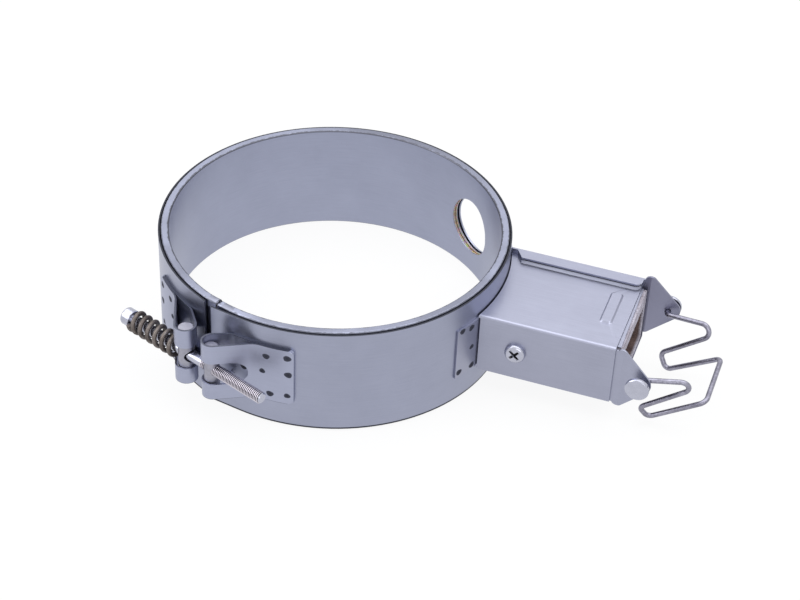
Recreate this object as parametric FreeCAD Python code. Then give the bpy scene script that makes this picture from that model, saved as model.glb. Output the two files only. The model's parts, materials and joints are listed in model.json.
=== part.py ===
"""Band heater with a spring-loaded clamp screw and a plug box, in millimetres.

Frame: +Z is the axis of the bore, z = 0 is the bottom rim, and the plug box points along +X.
A split mica-insulated heater body lies inside a clamp band.  The band is closed by a screw that
runs through two barrels, each held in the folded loop of a strap welded to the band.  The plug box
is a welded channel with a screwed cover, a ceramic socket and a sprung wire bail for the plug.
"""
import FreeCAD
import Part
import math
import os

V = FreeCAD.Vector

# ---------------------------------------------------------------- driving dimensions
# heater body
BORE_R = 70.0            # bore of the heater, half of the 140 mm barrel it grips
WIDTH = 50.0             # width of the heater along the barrel
SHEATH_T = 0.45          # inner sheath sheet
LAYER_GAP = 0.1          # free space between the layers of the body
CORE_T = 0.9             # mica core strip
RIBBON_T = 0.15          # resistance ribbon
COVER_MICA_T = 0.5       # outer mica strip
BACKING_T = 0.4          # backing sheet behind the mica
HEM_H = 3.5              # height of the sheath's edge folded over the backing sheet
SEAM_AZ = -109.5         # middle of the split in the heater body, degrees
SEAM_GAP = 0.7           # width of the split at the bore
RIBBON_W = 3.6           # width of one leg of the ribbon
RIBBON_EDGE = 4.5        # free margin of mica above and below the ribbon
RIBBON_MIDDLE = 3.0      # free margin between the upper and the lower row of legs
RIBBON_FREE = 3.0        # free margin round the side hole and beside the seam
LEGS_TO_HOLE = 2.5       # legs between the terminals and the side hole, always a half
RIM_EASE = 0.4           # the folded rims are eased by this much
# clamp band
BAND_T = 0.8             # clamp band sheet
BAND_GAP = 0.4           # free space between the body's hem and the band
BAND_EDGE = 0.6          # how far the band's edges stay inside the body's rims
CLAMP_AZ = -111.0        # direction of the clamp, degrees
BAND_SPLIT_AZ = -112.0   # middle of the gap between the band's ends
BAND_SPLIT = 4.4         # gap between the band's ends
TAIL_LONG = 10.0         # straight end of the band on the nut side, degrees
TAIL_SHORT = 5.0         # straight end of the band on the spring side, degrees
# round hole through the wall, for a probe or a nozzle
HOLE_AZ = 51.0
HOLE_Z = 23.5
HOLE_R = 13.0
HOLE_STEP = 0.4          # each sheet behind the sheath is cut this much wider
# clamp: screw, barrels and straps
SCREW_OUT = 8.25         # distance of the screw's axis from the band
SCREW_Z = 26.2           # height of the screw's axis
SCREW_D = 5.0            # thread size, M5
THREAD_PITCH = 0.8
HEAD_D = 7.6
HEAD_L = 4.4
HEAD_EASE = 0.5          # edge of the head
SOCKET_AF = 4.0          # hexagon socket across flats
SOCKET_DEPTH = 2.6
HEAD_T = -37.0           # under-face of the head along the screw, from the clamp's middle
SCREW_END_T = 35.8       # tip of the thread
THREAD_START_T = 3.2     # where the thread begins
SHANK_CUT = 0.15         # the plain shank is this much thinner than the thread, on the radius
BARREL_L_D = 7.0         # barrel on the spring side
BARREL_L_T = -6.3
BARREL_L_LEN = 26.0
BARREL_R_D = 6.4         # threaded barrel on the nut side
BARREL_R_T = 7.9
BARREL_R_LEN = 22.6
BARREL_CHAMFER = 0.4
CROSS_HOLE_D = 6.2       # clearance hole through the spring-side barrel
THREAD_FIT = 0.05        # running clearance of the thread in its barrel, on the radius
STRAP_T = 0.8            # strap sheet
STRAP_LOW = 13.2         # lower edge of the straps
STRAP_H = 27.5           # strap height
LOOP_CLEAR = 0.4         # free space between barrel and loop, on the radius
LOOP_PULL = 0.3          # how far the screw's pull shifts a barrel in its loop
WINDOW_H = 10.8          # window in the strap for the screw and the spring
STRAP_END = 29.4         # far end of the welded plate, degrees from the clamp's middle
OUTER_BEND = 19.0        # where the outer layer meets the inner one, degrees
INNER_BEND = 10.2        # where the inner layer leaves the band, degrees
BEND_R = 6.0             # easy bend there
OUTER_BEND_R = 10.0      # and where the layers meet
WINDOW_END = 15.7        # window's end in the outer layer, degrees
INNER_WINDOW_END = 9.9   # window's end in the inner layer, degrees
PLATE_CORNER = 3.0
WINDOW_CORNER = 4.8      # rounding at the window's ends
WELD_SEAT = 0.02         # free space left between welded sheets
# spring
SPRING_WIRE = 2.0
SPRING_MEAN_R = 4.0
SPRING_TURNS = 5.25      # active turns
SPRING_DEAD = 1.5        # closed turns at each end together
SPRING_SEAT = 0.05       # free space at each end of the spring
SPRING_SIDES = 8         # the wire's section is a polygon, to keep the coils light
SPRING_STEPS = 8         # points on the wire's centre line in each turn
# plug box
BOX_LENGTH = 54.45       # the cover's outer end, from the band
BASE_EXTRA = 2.5         # the channel runs on beyond the cover, to where the ears start
BOX_HALF_W = 23.4        # half of the box's width
BOX_BOTTOM = 11.0
BOX_TOP = 39.0           # top of the cover
BOX_T = 0.8              # box sheet
COVER_FIT = 0.1          # free space between cover and channel
LIP_RISE = 1.6           # free space between the cover and the channel's lip
LIP_W = 5.5
LIP_LENGTH = 54.8        # length of the lip, from the cover's outer end
LIP_SLANT = 3.0          # slanted inner end of the lip
LIP_CORNER = 3.0
COVER_SIDE_GAP = 1.5     # the cover's side starts this far from the band, clear of the weld tab
COVER_BEND = 1.2         # outside radius of the folded edges
COVER_END_GAP = 0.5      # between the cover's inner end and the band
TAB_AZ = 28.0            # far edge of a weld tab, degrees either side of +X
TAB_BOTTOM = 13.0
EMBOSS_BACK = 8.3        # middle of the pressed mark, from the cover's outer end
EMBOSS_Y = 1.6
EMBOSS_L = 21.0
EMBOSS_W = 5.4
EMBOSS_H = 0.7
COVER_SCREW_BACK = 41.0  # the cover's screw, from the cover's outer end
COVER_SCREW_Z = 24.6
COVER_SCREW_D = 4.0
COVER_SCREW_L = 7.0
COVER_NUT_AF = 7.0
COVER_NUT_H = 3.0
PAN_D = 8.8
PAN_H = 2.2
# ears and bail
EAR_SPLAY = 16.0         # the ears bend outwards by this angle
EAR_STRIP = 0.6          # flat strip beyond the channel's floor before the bend
EAR_START = 0.5          # an ear's outline starts this far beyond the cover
EAR_BEND_R = 1.6         # bend of the ear, on the sheet's middle
NEAR_EAR_TOP = 38.6
NEAR_EAR_FOOT = 9.6
FAR_EAR_TOP = 43.3
FAR_EAR_FOOT = 14.1
EAR_CORNER = 2.4
EAR_NOSE_R = 5.0
BAIL_OUT = 11.5          # hinge of the bail, from the cover's outer end
BAIL_Z = 26.0
WIRE_D = 2.2
EAR_HOLE_CLEAR = 0.3     # free space round the wire in the ear's hole
WIRE_END_Y = 29.2
WIRE_TURN_Y = 22.8       # the wire turns from the hinge line into its arm here
WIRE_TURN_R = 1.8
ARM_Y = 23.6             # where the plane of a zigzag arm crosses the hinge line
ARM_TOE = 12.8           # the two arms close in on each other by this angle, degrees
ARM_LEAN = 14.8          # and lean together towards the foot
ARM_BENDS = (            # corners of an arm: outwards and up from the hinge, and the bend there
    (27.9, 3.1, 3.5),
    (1.5, -18.3, 2.6),
    (5.6, -24.6, 2.6),
    (27.8, -10.1, 3.0),
)
BUTTON_D = 10.0
BUTTON_T = 1.6
BUTTON_Y = 28.3          # inner face of a button
BUTTON_FIT = 0.02
BUTTON_EASE = 0.3        # outer edge of a button
# ceramic socket
SHROUD_SIDE = 0.5        # free space between the shroud and the channel's walls
SHROUD_TOP_GAP = 0.4     # between the shroud and the cover
SHROUD_LEN = 24.0
SHROUD_WALL_Y = 3.6
SHROUD_FLOOR_Z = 3.2     # wall of the shroud under the recess
SHROUD_ROOF_Z = 6.5      # and above it
SHROUD_DEPTH = 15.0
PIN_D = 6.0
PIN_SPACING = 19.0
PIN_FREE = 11.0          # length of a pin that stands in the recess
PIN_TAIL = 9.0           # length of a pin behind the shroud
PIN_FIT = 0.03
PIN_EASE = 1.2           # tapered tip of a pin
PIN_NUT_AF = 10.0
PIN_NUT_H = 4.0
PIN_NUT_GAP = 1.0        # the nuts stand this far behind the block
EARTH_W = 8.0
EARTH_T = 1.0
EARTH_FIT = 0.1
LEAD_D = 2.4
LEAD_Z = 23.2            # height of the leads and pins, the middle of the recess
BUSH_D = 4.6             # ceramic bush where a lead passes the wall
BUSH_L = 6.0
BUSH_FIT = 0.1

# ---------------------------------------------------------------- derived dimensions
CORE_R = BORE_R + SHEATH_T + LAYER_GAP
RIBBON_R = CORE_R + CORE_T + LAYER_GAP
MICA_R = RIBBON_R + RIBBON_T + LAYER_GAP
BACKING_R = MICA_R + COVER_MICA_T + LAYER_GAP
HEM_R = BACKING_R + BACKING_T + LAYER_GAP
BODY_R = HEM_R + SHEATH_T
BAND_R = BODY_R + BAND_GAP
OUT_R = BAND_R + BAND_T
SCREW_R = OUT_R + SCREW_OUT
BOX_END = OUT_R + BOX_LENGTH
BASE_END = BOX_END + BASE_EXTRA
LIP_START = BOX_END - LIP_LENGTH
COVER_SIDE_START = math.sqrt(OUT_R ** 2 - BOX_HALF_W ** 2) + COVER_SIDE_GAP
EMBOSS_X = BOX_END - EMBOSS_BACK
COVER_SCREW_X = BOX_END - COVER_SCREW_BACK
BAIL_X = BOX_END + BAIL_OUT
STRAP_TOP = STRAP_LOW + STRAP_H
FAR_TOP = BOX_TOP + LIP_RISE + BOX_T
BASE_HALF_W = BOX_HALF_W - BOX_T - COVER_FIT
EAR_BEND_X = BASE_END + EAR_STRIP


# ---------------------------------------------------------------- helpers
def turn(shape, degrees):
    """Rotate a shape about the bore's axis."""
    moved = shape.copy()
    moved.rotate(V(0, 0, 0), V(0, 0, 1), degrees)
    return moved


def to_clamp(shape):
    """Move a shape from the clamp's own frame, where the clamp lies at -Y, to its place."""
    return turn(shape, CLAMP_AZ + 90)


def polar(radius, degrees, z=0.0):
    a = math.radians(degrees)
    return V(radius * math.cos(a), radius * math.sin(a), z)


def box(x0, x1, y0, y1, z0, z1):
    return Part.makeBox(x1 - x0, y1 - y0, z1 - z0, V(x0, y0, z0))


def cylinder(radius, height, base, axis):
    return Part.makeCylinder(radius, height, base, axis)


def sector(r0, r1, z0, z1, az0, az1):
    """A piece of a round wall between two radii, two heights and two directions."""
    outer = Part.makeCylinder(r1, z1 - z0, V(0, 0, z0), V(0, 0, 1), az1 - az0)
    inner = Part.makeCylinder(r0, z1 - z0 + 2, V(0, 0, z0 - 1), V(0, 0, 1), 360)
    return turn(outer, az0).cut(inner)


def arc_edge(p, q, centre, ccw):
    """Arc from p to q about centre, in the XY plane."""
    a = math.atan2(p.y - centre.y, p.x - centre.x)
    b = math.atan2(q.y - centre.y, q.x - centre.x)
    if ccw and b <= a:
        b += 2 * math.pi
    if not ccw and b >= a:
        b -= 2 * math.pi
    mid = (a + b) / 2
    radius = (p - centre).Length
    middle = centre + V(radius * math.cos(mid), radius * math.sin(mid), 0)
    return Part.Arc(p, middle, q).toShape()


def tangent(c1, r1, c2, r2):
    """End points of the line that leaves circle 1 and joins circle 2; a radius is positive ccw."""
    gap = c2 - c1
    normal = math.atan2(gap.y, gap.x) + math.acos((r2 - r1) / gap.Length)
    n = V(math.cos(normal), math.sin(normal), 0)
    return c1 - n * r1, c2 - n * r2


def strip_face(path, thickness):
    """Flat section of a bent sheet.  path lists (start, end, centre or None, ccw), tangent throughout."""
    def side(shift):
        edges = []
        for start, end, centre, ccw in path:
            if centre is None:
                along = (end - start).normalize()
                n0 = n1 = V(-along.y, along.x, 0)
            else:
                sign = 1 if ccw else -1
                n0 = (centre - start).normalize() * sign
                n1 = (centre - end).normalize() * sign
            p = start + n0 * shift
            q = end + n1 * shift
            if centre is None:
                edges.append(Part.LineSegment(p, q).toShape())
            else:
                edges.append(arc_edge(p, q, centre, ccw))
        return edges

    left = side(thickness / 2)
    right = side(-thickness / 2)
    caps = []
    for a, b in ((left[0].Vertexes[0], right[0].Vertexes[0]), (left[-1].Vertexes[-1], right[-1].Vertexes[-1])):
        caps.append(Part.LineSegment(a.Point, b.Point).toShape())
    wire = Part.Wire(Part.__sortEdges__(left + right + caps))
    return Part.Face(wire)


def raise_face(face, z0, z1):
    lifted = face.copy()
    lifted.translate(V(0, 0, z0))
    return lifted.extrude(V(0, 0, z1 - z0))


def rounded_face(points, radii):
    """Flat face from a closed outline with a rounding for each corner."""
    edges = []
    count = len(points)
    ends = []
    for i, corner in enumerate(points):
        before = (points[i - 1] - corner).normalize()
        after = (points[(i + 1) % count] - corner).normalize()
        half = before.getAngle(after) / 2
        if radii[i] <= 0:
            ends.append((corner, corner))
            continue
        reach = radii[i] / math.tan(half)
        p = corner + before * reach
        q = corner + after * reach
        bisector = (before + after).normalize()
        middle = corner + bisector * (radii[i] / math.sin(half) - radii[i])
        ends.append((p, q))
        edges.append(Part.Arc(p, middle, q).toShape())
    for i in range(count):
        a = ends[i][1]
        b = ends[(i + 1) % count][0]
        if (b - a).Length > 1e-6:
            edges.append(Part.LineSegment(a, b).toShape())
    return Part.Face(Part.Wire(Part.__sortEdges__(edges)))


def hull_outline(circles):
    """Closed outline round a list of circles (centre, radius) given anticlockwise."""
    edges = []
    count = len(circles)
    lines = []
    for i in range(count):
        c1, r1 = circles[i]
        c2, r2 = circles[(i + 1) % count]
        lines.append(tangent(c1, r1, c2, r2))
    for i in range(count):
        centre = circles[i][0]
        edges.append(Part.LineSegment(*lines[i]).toShape())
        edges.append(arc_edge(lines[i - 1][1], lines[i][0], centre, True))
    return Part.Face(Part.Wire(Part.__sortEdges__(edges)))


def hexagon(across_flats, height, base, axis):
    """Hexagonal prism standing on base along axis."""
    radius = across_flats / math.sqrt(3)
    points = []
    for k in range(6):
        points.append(polar(radius, 60 * k + 30))
    points.append(points[0])
    prism = Part.Face(Part.makePolygon(points)).extrude(V(0, 0, height))
    prism.Placement = FreeCAD.Placement(base, FreeCAD.Rotation(V(0, 0, 1), axis))
    return prism


def along_wire(points, bend_r, wire_d):
    """Round wire along a route of straight runs with an equal arc at each corner."""
    edges = []
    start = points[0]
    for i in range(1, len(points) - 1):
        corner = points[i]
        before = (points[i - 1] - corner).normalize()
        after = (points[i + 1] - corner).normalize()
        half = before.getAngle(after) / 2
        reach = bend_r[i - 1] / math.tan(half)
        p = corner + before * reach
        q = corner + after * reach
        bisector = (before + after).normalize()
        middle = corner + bisector * (bend_r[i - 1] / math.sin(half) - bend_r[i - 1])
        edges.append(Part.LineSegment(start, p).toShape())
        edges.append(Part.Arc(p, middle, q).toShape())
        start = q
    edges.append(Part.LineSegment(start, points[-1]).toShape())
    path = Part.Wire(edges)
    heading = (points[1] - points[0]).normalize()
    section = Part.Wire(Part.makeCircle(wire_d / 2, points[0], heading))
    return path.makePipeShell([section], True, False)


def save(name, shape):
    """Write one piece; one solid, or a group of separate solids."""
    solids = shape.Solids
    result = solids[0] if len(solids) == 1 else Part.makeCompound(solids)
    result.exportStep("parts/" + name + ".step")
    print(name, "solids", len(solids), "valid", result.isValid(), "volume", round(result.Volume, 1))


# ---------------------------------------------------------------- heater body
def side_hole(extra):
    """Tool that cuts the round hole through the wall."""
    return cylinder(HOLE_R + extra, 30, polar(BORE_R - 15, HOLE_AZ, HOLE_Z), polar(1, HOLE_AZ))


def seam_half(radius):
    """Half of the split's angle at a radius, for a split of constant width."""
    return math.degrees(SEAM_GAP / 2 / radius)


def body_layer(r0, r1, z0, z1, hole_extra, seam_extra):
    """One round strip of the body, split at the seam and pierced by the side hole."""
    margin = seam_half(BORE_R) + math.degrees(seam_extra / BORE_R)
    strip = sector(r0, r1, z0, z1, SEAM_AZ + margin, SEAM_AZ + 360 - margin)
    return strip.cut(side_hole(hole_extra))


def inner_sheath():
    """Sheath with both edges turned outwards and hemmed over the backing sheet."""
    inside = BODY_R - SHEATH_T
    lower = [
        V(BORE_R, 0, RIM_EASE),
        V(BORE_R + RIM_EASE, 0, 0),
        V(BODY_R - RIM_EASE, 0, 0),
        V(BODY_R, 0, RIM_EASE),
        V(BODY_R, 0, HEM_H),
        V(inside, 0, HEM_H),
        V(inside, 0, SHEATH_T),
        V(BORE_R + SHEATH_T, 0, SHEATH_T),
    ]
    upper = [V(p.x, 0, WIDTH - p.z) for p in reversed(lower)]
    section = Part.Face(Part.makePolygon(lower + upper + lower[:1]))
    margin = seam_half(BORE_R)
    ring = turn(section, SEAM_AZ + margin).revolve(V(0, 0, 0), V(0, 0, 1), 360 - 2 * margin)
    return ring.cut(side_hole(0))


def ribbon_patch(az0, az1, z0, z1):
    return sector(RIBBON_R, RIBBON_R + RIBBON_T, z0, z1, az0, az1)


def ribbon_row(outer_z, inner_z, pitch, hole_half, legs_before, legs_after):
    """Legs of one row and the links between them; the row passes the hole along its outer edge."""
    leg = math.degrees(RIBBON_W / RIBBON_R) / 2
    low, high = sorted((outer_z, inner_z))
    inward = 1 if inner_z > outer_z else -1
    pieces = []
    bus = sorted((outer_z, outer_z + inward * RIBBON_W))
    tie = sorted((inner_z, inner_z - inward * RIBBON_W))
    start = HOLE_AZ - hole_half
    end = HOLE_AZ + hole_half
    pieces.append(ribbon_patch(start - leg, end + leg, *bus))
    for origin, step, count in ((start, -pitch, legs_before), (end, pitch, legs_after)):
        for k in range(count):
            az = origin + k * step
            pieces.append(ribbon_patch(az - leg, az + leg, low, high))
            if k == count - 1:
                continue
            between = sorted((az, az + step))
            at_terminals = between[0] < 0 < between[1] and inward < 0
            if at_terminals:
                continue
            edge = tie if k % 2 == 0 else bus
            pieces.append(ribbon_patch(between[0] - leg, between[1] + leg, *edge))
    return pieces


def heating_element():
    """Resistance ribbon in two rows of upright legs, joined beside the seam, open at the terminals."""
    leg = math.degrees(RIBBON_W / RIBBON_R) / 2
    hole_half = math.degrees((HOLE_R + RIBBON_FREE) / RIBBON_R) + leg
    pitch = (HOLE_AZ - hole_half) / LEGS_TO_HOLE
    room_before = HOLE_AZ - hole_half - SEAM_AZ - 2 * leg
    room_after = SEAM_AZ + 360 - HOLE_AZ - hole_half - 2 * leg
    before = odd_below(room_before / pitch)
    after = odd_below(room_after / pitch)
    middle = WIDTH / 2
    upper = ribbon_row(WIDTH - RIBBON_EDGE, middle + RIBBON_MIDDLE, pitch, hole_half, before, after)
    lower = ribbon_row(RIBBON_EDGE, middle - RIBBON_MIDDLE, pitch, hole_half, before, after)
    pieces = upper + lower
    for az in (HOLE_AZ - hole_half - (before - 1) * pitch, HOLE_AZ + hole_half + (after - 1) * pitch):
        pieces.append(ribbon_patch(az - leg, az + leg, middle - RIBBON_MIDDLE, middle + RIBBON_MIDDLE))
    pad = math.degrees(math.asin((PIN_SPACING + LEAD_D) / 2 / RIBBON_R))
    for az0, az1 in ((-pad, -pitch / 2 + leg), (pitch / 2 - leg, pad)):
        pieces.append(ribbon_patch(az0, az1, LEAD_Z - LEAD_D / 2, middle + RIBBON_MIDDLE + RIBBON_W))
    return pieces[0].multiFuse(pieces[1:]).removeSplitter()


def odd_below(value):
    """Largest odd whole number that isn't above value."""
    whole = int(value)
    return whole if whole % 2 else whole - 1


def lead_cut(extra):
    """Tool that opens the wall for the two leads."""
    tools = []
    for side in (-1, 1):
        base = V(BORE_R - 5, side * PIN_SPACING / 2, LEAD_Z)
        tools.append(cylinder(BUSH_D / 2 + extra, 20, base, V(1, 0, 0)))
    return Part.makeCompound(tools)


def mica_core():
    edge = SHEATH_T + LAYER_GAP
    return body_layer(CORE_R, CORE_R + CORE_T, edge, WIDTH - edge, HOLE_STEP, 0.5)


def outer_mica():
    edge = SHEATH_T + LAYER_GAP
    strip = body_layer(MICA_R, MICA_R + COVER_MICA_T, edge, WIDTH - edge, HOLE_STEP / 2, 0.5)
    return strip.cut(lead_cut(BUSH_FIT))


def backing_sheet():
    edge = SHEATH_T + LAYER_GAP
    strip = body_layer(BACKING_R, BACKING_R + BACKING_T, edge, WIDTH - edge, HOLE_STEP, 0.3)
    return strip.cut(lead_cut(BUSH_FIT))


# ---------------------------------------------------------------- clamp band
def clamp_band():
    """Outer band: round, with straight ends that stand off the body a little."""
    mid = BAND_R + BAND_T / 2
    half_split = math.degrees(BAND_SPLIT / 2 / OUT_R)
    left_az = BAND_SPLIT_AZ - half_split
    right_az = BAND_SPLIT_AZ + half_split
    round_start = right_az + TAIL_LONG
    round_end = left_az + 360 - TAIL_SHORT
    a = polar(mid, round_start)
    b = polar(mid, round_end)
    start = a - polar(1, round_start + 90) * (mid * math.tan(math.radians(TAIL_LONG)))
    end = b + polar(1, round_end + 90) * (mid * math.tan(math.radians(TAIL_SHORT)))
    path = [(start, a, None, True), (a, b, V(0, 0, 0), True), (b, end, None, True)]
    band = raise_face(strip_face(path, BAND_T), BAND_EDGE, WIDTH - BAND_EDGE)
    return band.cut(side_hole(HOLE_STEP)).cut(lead_cut(BUSH_FIT))


# ---------------------------------------------------------------- clamp, built with the clamp at -Y
# In the clamp's own frame x runs along the screw towards its tip and -y points away from the bore.
def on_band(radius, degrees):
    """Point at a radius and an angle from the clamp's middle, positive towards the screw's tip."""
    return polar(radius, degrees - 90)


def loop_radius(barrel_d):
    """Radius of a loop on its sheet's middle, round a barrel."""
    return barrel_d / 2 + LOOP_CLEAR + STRAP_T / 2


def strap(barrel_t, barrel_d, side):
    """One folded strap: round the barrel, back along both layers, welded to the band."""
    loop_r = loop_radius(barrel_d)
    centre = V(abs(barrel_t) + LOOP_PULL, -SCREW_R, 0)
    origin = V(0, 0, 0)
    low_r = OUT_R + WELD_SEAT + STRAP_T / 2
    top_r = low_r + STRAP_T + WELD_SEAT
    inner_bend = on_band(low_r + BEND_R, INNER_BEND)
    outer_bend = on_band(top_r + OUTER_BEND_R, OUTER_BEND)
    a0 = on_band(low_r, STRAP_END)
    a1 = on_band(low_r, INNER_BEND)
    b0 = on_band(top_r, STRAP_END)
    b1 = on_band(top_r, OUTER_BEND)
    p1, p2 = tangent(inner_bend, BEND_R, centre, loop_r)
    p3, p4 = tangent(centre, loop_r, outer_bend, -OUTER_BEND_R)
    path = [
        (a0, a1, origin, False),
        (a1, p1, inner_bend, True),
        (p1, p2, None, True),
        (p2, p3, centre, True),
        (p3, p4, None, True),
        (p4, b1, outer_bend, False),
        (b1, b0, origin, True),
    ]
    sheet = raise_face(strip_face(path, STRAP_T), STRAP_LOW, STRAP_TOP)
    far_x = b0.x + STRAP_T
    near_x = centre.x - loop_r - STRAP_T
    sheet = sheet.common(upright_slot(near_x, far_x - STRAP_T / 2, STRAP_LOW, STRAP_TOP, PLATE_CORNER))
    window_low = SCREW_Z - WINDOW_H / 2
    window_top = SCREW_Z + WINDOW_H / 2
    outer_cut = upright_slot(near_x - 2, on_band(top_r, WINDOW_END).x, window_low, window_top, WINDOW_CORNER)
    outer_cut = outer_cut.cut(cylinder(top_r - STRAP_T / 2 - WELD_SEAT / 2, WIDTH, origin, V(0, 0, 1)))
    inner_end = on_band(low_r, INNER_WINDOW_END).x
    inner_cut = upright_slot(near_x - 2, inner_end, window_low, window_top, WINDOW_CORNER)
    sheet = sheet.cut(outer_cut).cut(inner_cut)
    if side < 0:
        sheet = sheet.mirror(origin, V(1, 0, 0))
    return to_clamp(sheet)


def upright_slot(x0, x1, z0, z1, corner):
    """Block seen from -Y as a rectangle whose far corners are rounded."""
    points = [V(x0, 0, z0), V(x1, 0, z0), V(x1, 0, z1), V(x0, 0, z1)]
    face = rounded_face(points, [0, corner, corner, 0])
    return face.extrude(V(0, -SCREW_R - 20, 0))


def barrel(x, diameter, length, hole_r):
    """Round bar across the strap's loop, with the hole for the screw."""
    low = SCREW_Z - length / 2
    body = cylinder(diameter / 2, length, V(x, -SCREW_R, low), V(0, 0, 1))
    body = body.makeChamfer(BARREL_CHAMFER, round_edges(body))
    hole = cylinder(hole_r, diameter * 2, V(x - diameter, -SCREW_R, SCREW_Z), V(1, 0, 0))
    return to_clamp(body.cut(hole))


def round_edges(shape):
    """Edges of a turned piece that are whole circles."""
    return [edge for edge in shape.Edges if edge.isClosed() and edge.Curve.TypeId == "Part::GeomCircle"]


def clamp_screw():
    """Cap screw: hexagon socket head, plain shank, threaded end at full thread size."""
    def at(x):
        return V(x, -SCREW_R, SCREW_Z)

    along = V(1, 0, 0)
    head = cylinder(HEAD_D / 2, HEAD_L, at(HEAD_T - HEAD_L), along)
    outer_rim = [edge for edge in round_edges(head) if edge.CenterOfMass.x < HEAD_T - HEAD_L / 2]
    head = head.makeChamfer(HEAD_EASE, outer_rim)
    head = head.cut(hexagon(SOCKET_AF, SOCKET_DEPTH + 1, at(HEAD_T - HEAD_L - 1), along))
    shank = cylinder(SCREW_D / 2 - SHANK_CUT, THREAD_START_T - HEAD_T + 1, at(HEAD_T - 1), along)
    thread = cylinder(SCREW_D / 2, SCREW_END_T - THREAD_START_T, at(THREAD_START_T), along)
    tip = [edge for edge in round_edges(thread) if edge.CenterOfMass.x > SCREW_END_T - 1]
    thread = thread.makeChamfer(THREAD_PITCH * 0.6, tip)
    return to_clamp(head.fuse(shank).fuse(thread).removeSplitter())


def spring_ends():
    """Ends of the spring along the screw: under the head and on the plain barrel, in the strap's window."""
    start = HEAD_T + SPRING_SEAT
    end = BARREL_L_T - BARREL_L_D / 2 - SPRING_SEAT
    return start, end


def spring_line():
    """Points on the wire's centre line: a closed stretch at each end and the open turns between them."""
    start, end = spring_ends()
    closed_pitch = SPRING_WIRE * 1.02
    closed = SPRING_DEAD / 2
    turns = SPRING_TURNS + SPRING_DEAD
    pitch = (end - start - SPRING_WIRE - SPRING_DEAD * closed_pitch) / SPRING_TURNS
    steps = round(turns * SPRING_STEPS)
    points = []
    for i in range(steps + 1):
        t = i * turns / steps
        open_turns = min(max(t - closed, 0), SPRING_TURNS)
        x = start + SPRING_WIRE / 2 + (t - open_turns) * closed_pitch + open_turns * pitch
        angle = math.radians(360 * t)
        points.append(V(x, SPRING_MEAN_R * math.cos(angle) - SCREW_R, SPRING_MEAN_R * math.sin(angle) + SCREW_Z))
    return points


def clamp_spring():
    """Compression spring over the screw."""
    line = Part.BSplineCurve()
    line.interpolate(spring_line())
    start = line.value(line.FirstParameter)
    heading = line.tangent(line.FirstParameter)[0]
    corners = []
    for k in range(SPRING_SIDES + 1):
        corners.append(polar(SPRING_WIRE / 2, 360 / SPRING_SIDES * (k + 0.5)))
    section = Part.makePolygon(corners)
    section.Placement = FreeCAD.Placement(start, FreeCAD.Rotation(V(0, 0, 1), heading))
    return to_clamp(Part.Wire(line.toShape()).makePipeShell([section], True, True))


# ---------------------------------------------------------------- plug box
def to_yz(shape):
    """Stand a section drawn in XY up in the YZ plane: x becomes y, y becomes z."""
    moved = shape.copy()
    moved.rotate(V(0, 0, 0), V(1, 1, 1), 120)
    return moved


def wall_with_ear(side, outer_y, top, start_x, ear_foot, ear_top):
    """Side wall of the channel that runs on past the cover as a splayed ear for the bail."""
    mid_y = outer_y - BOX_T / 2
    splay = math.radians(EAR_SPLAY)
    reach = EAR_BEND_R * math.tan(splay / 2)
    bend = V(EAR_BEND_X, mid_y, 0)
    heading = V(math.cos(splay), math.sin(splay), 0)
    a = bend - V(reach, 0, 0)
    b = bend + heading * reach
    centre = a + V(0, EAR_BEND_R, 0)
    tip = bend + heading * (BAIL_X - EAR_BEND_X + EAR_NOSE_R + BOX_T)
    path = [(V(start_x, mid_y, 0), a, None, True), (a, b, centre, True), (b, tip, None, True)]
    sheet = raise_face(strip_face(path, BOX_T), min(BOX_BOTTOM, ear_foot), max(top, ear_top))
    wall = box(start_x, BASE_END, 0, BASE_END, BOX_BOTTOM, top)
    ear = ear_outline(ear_foot, ear_top).extrude(V(0, BASE_END, 0))
    shape = sheet.common(wall.fuse(ear))
    hole = cylinder(WIRE_D / 2 + EAR_HOLE_CLEAR, BASE_END, V(BAIL_X, 0, BAIL_Z), V(0, 1, 0))
    shape = shape.cut(hole)
    return shape if side > 0 else shape.mirror(V(0, 0, 0), V(0, 1, 0))


def ear_outline(foot, top):
    """Side view of an ear: a rounded triangle whose nose is round the bail's hole."""
    x = BOX_END + EAR_START + EAR_CORNER
    outline = hull_outline([
        (V(x, top - EAR_CORNER, 0), EAR_CORNER),
        (V(x, foot + EAR_CORNER, 0), EAR_CORNER),
        (V(BAIL_X, BAIL_Z, 0), EAR_NOSE_R),
    ])
    outline.rotate(V(0, 0, 0), V(1, 0, 0), 90)
    return outline


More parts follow.
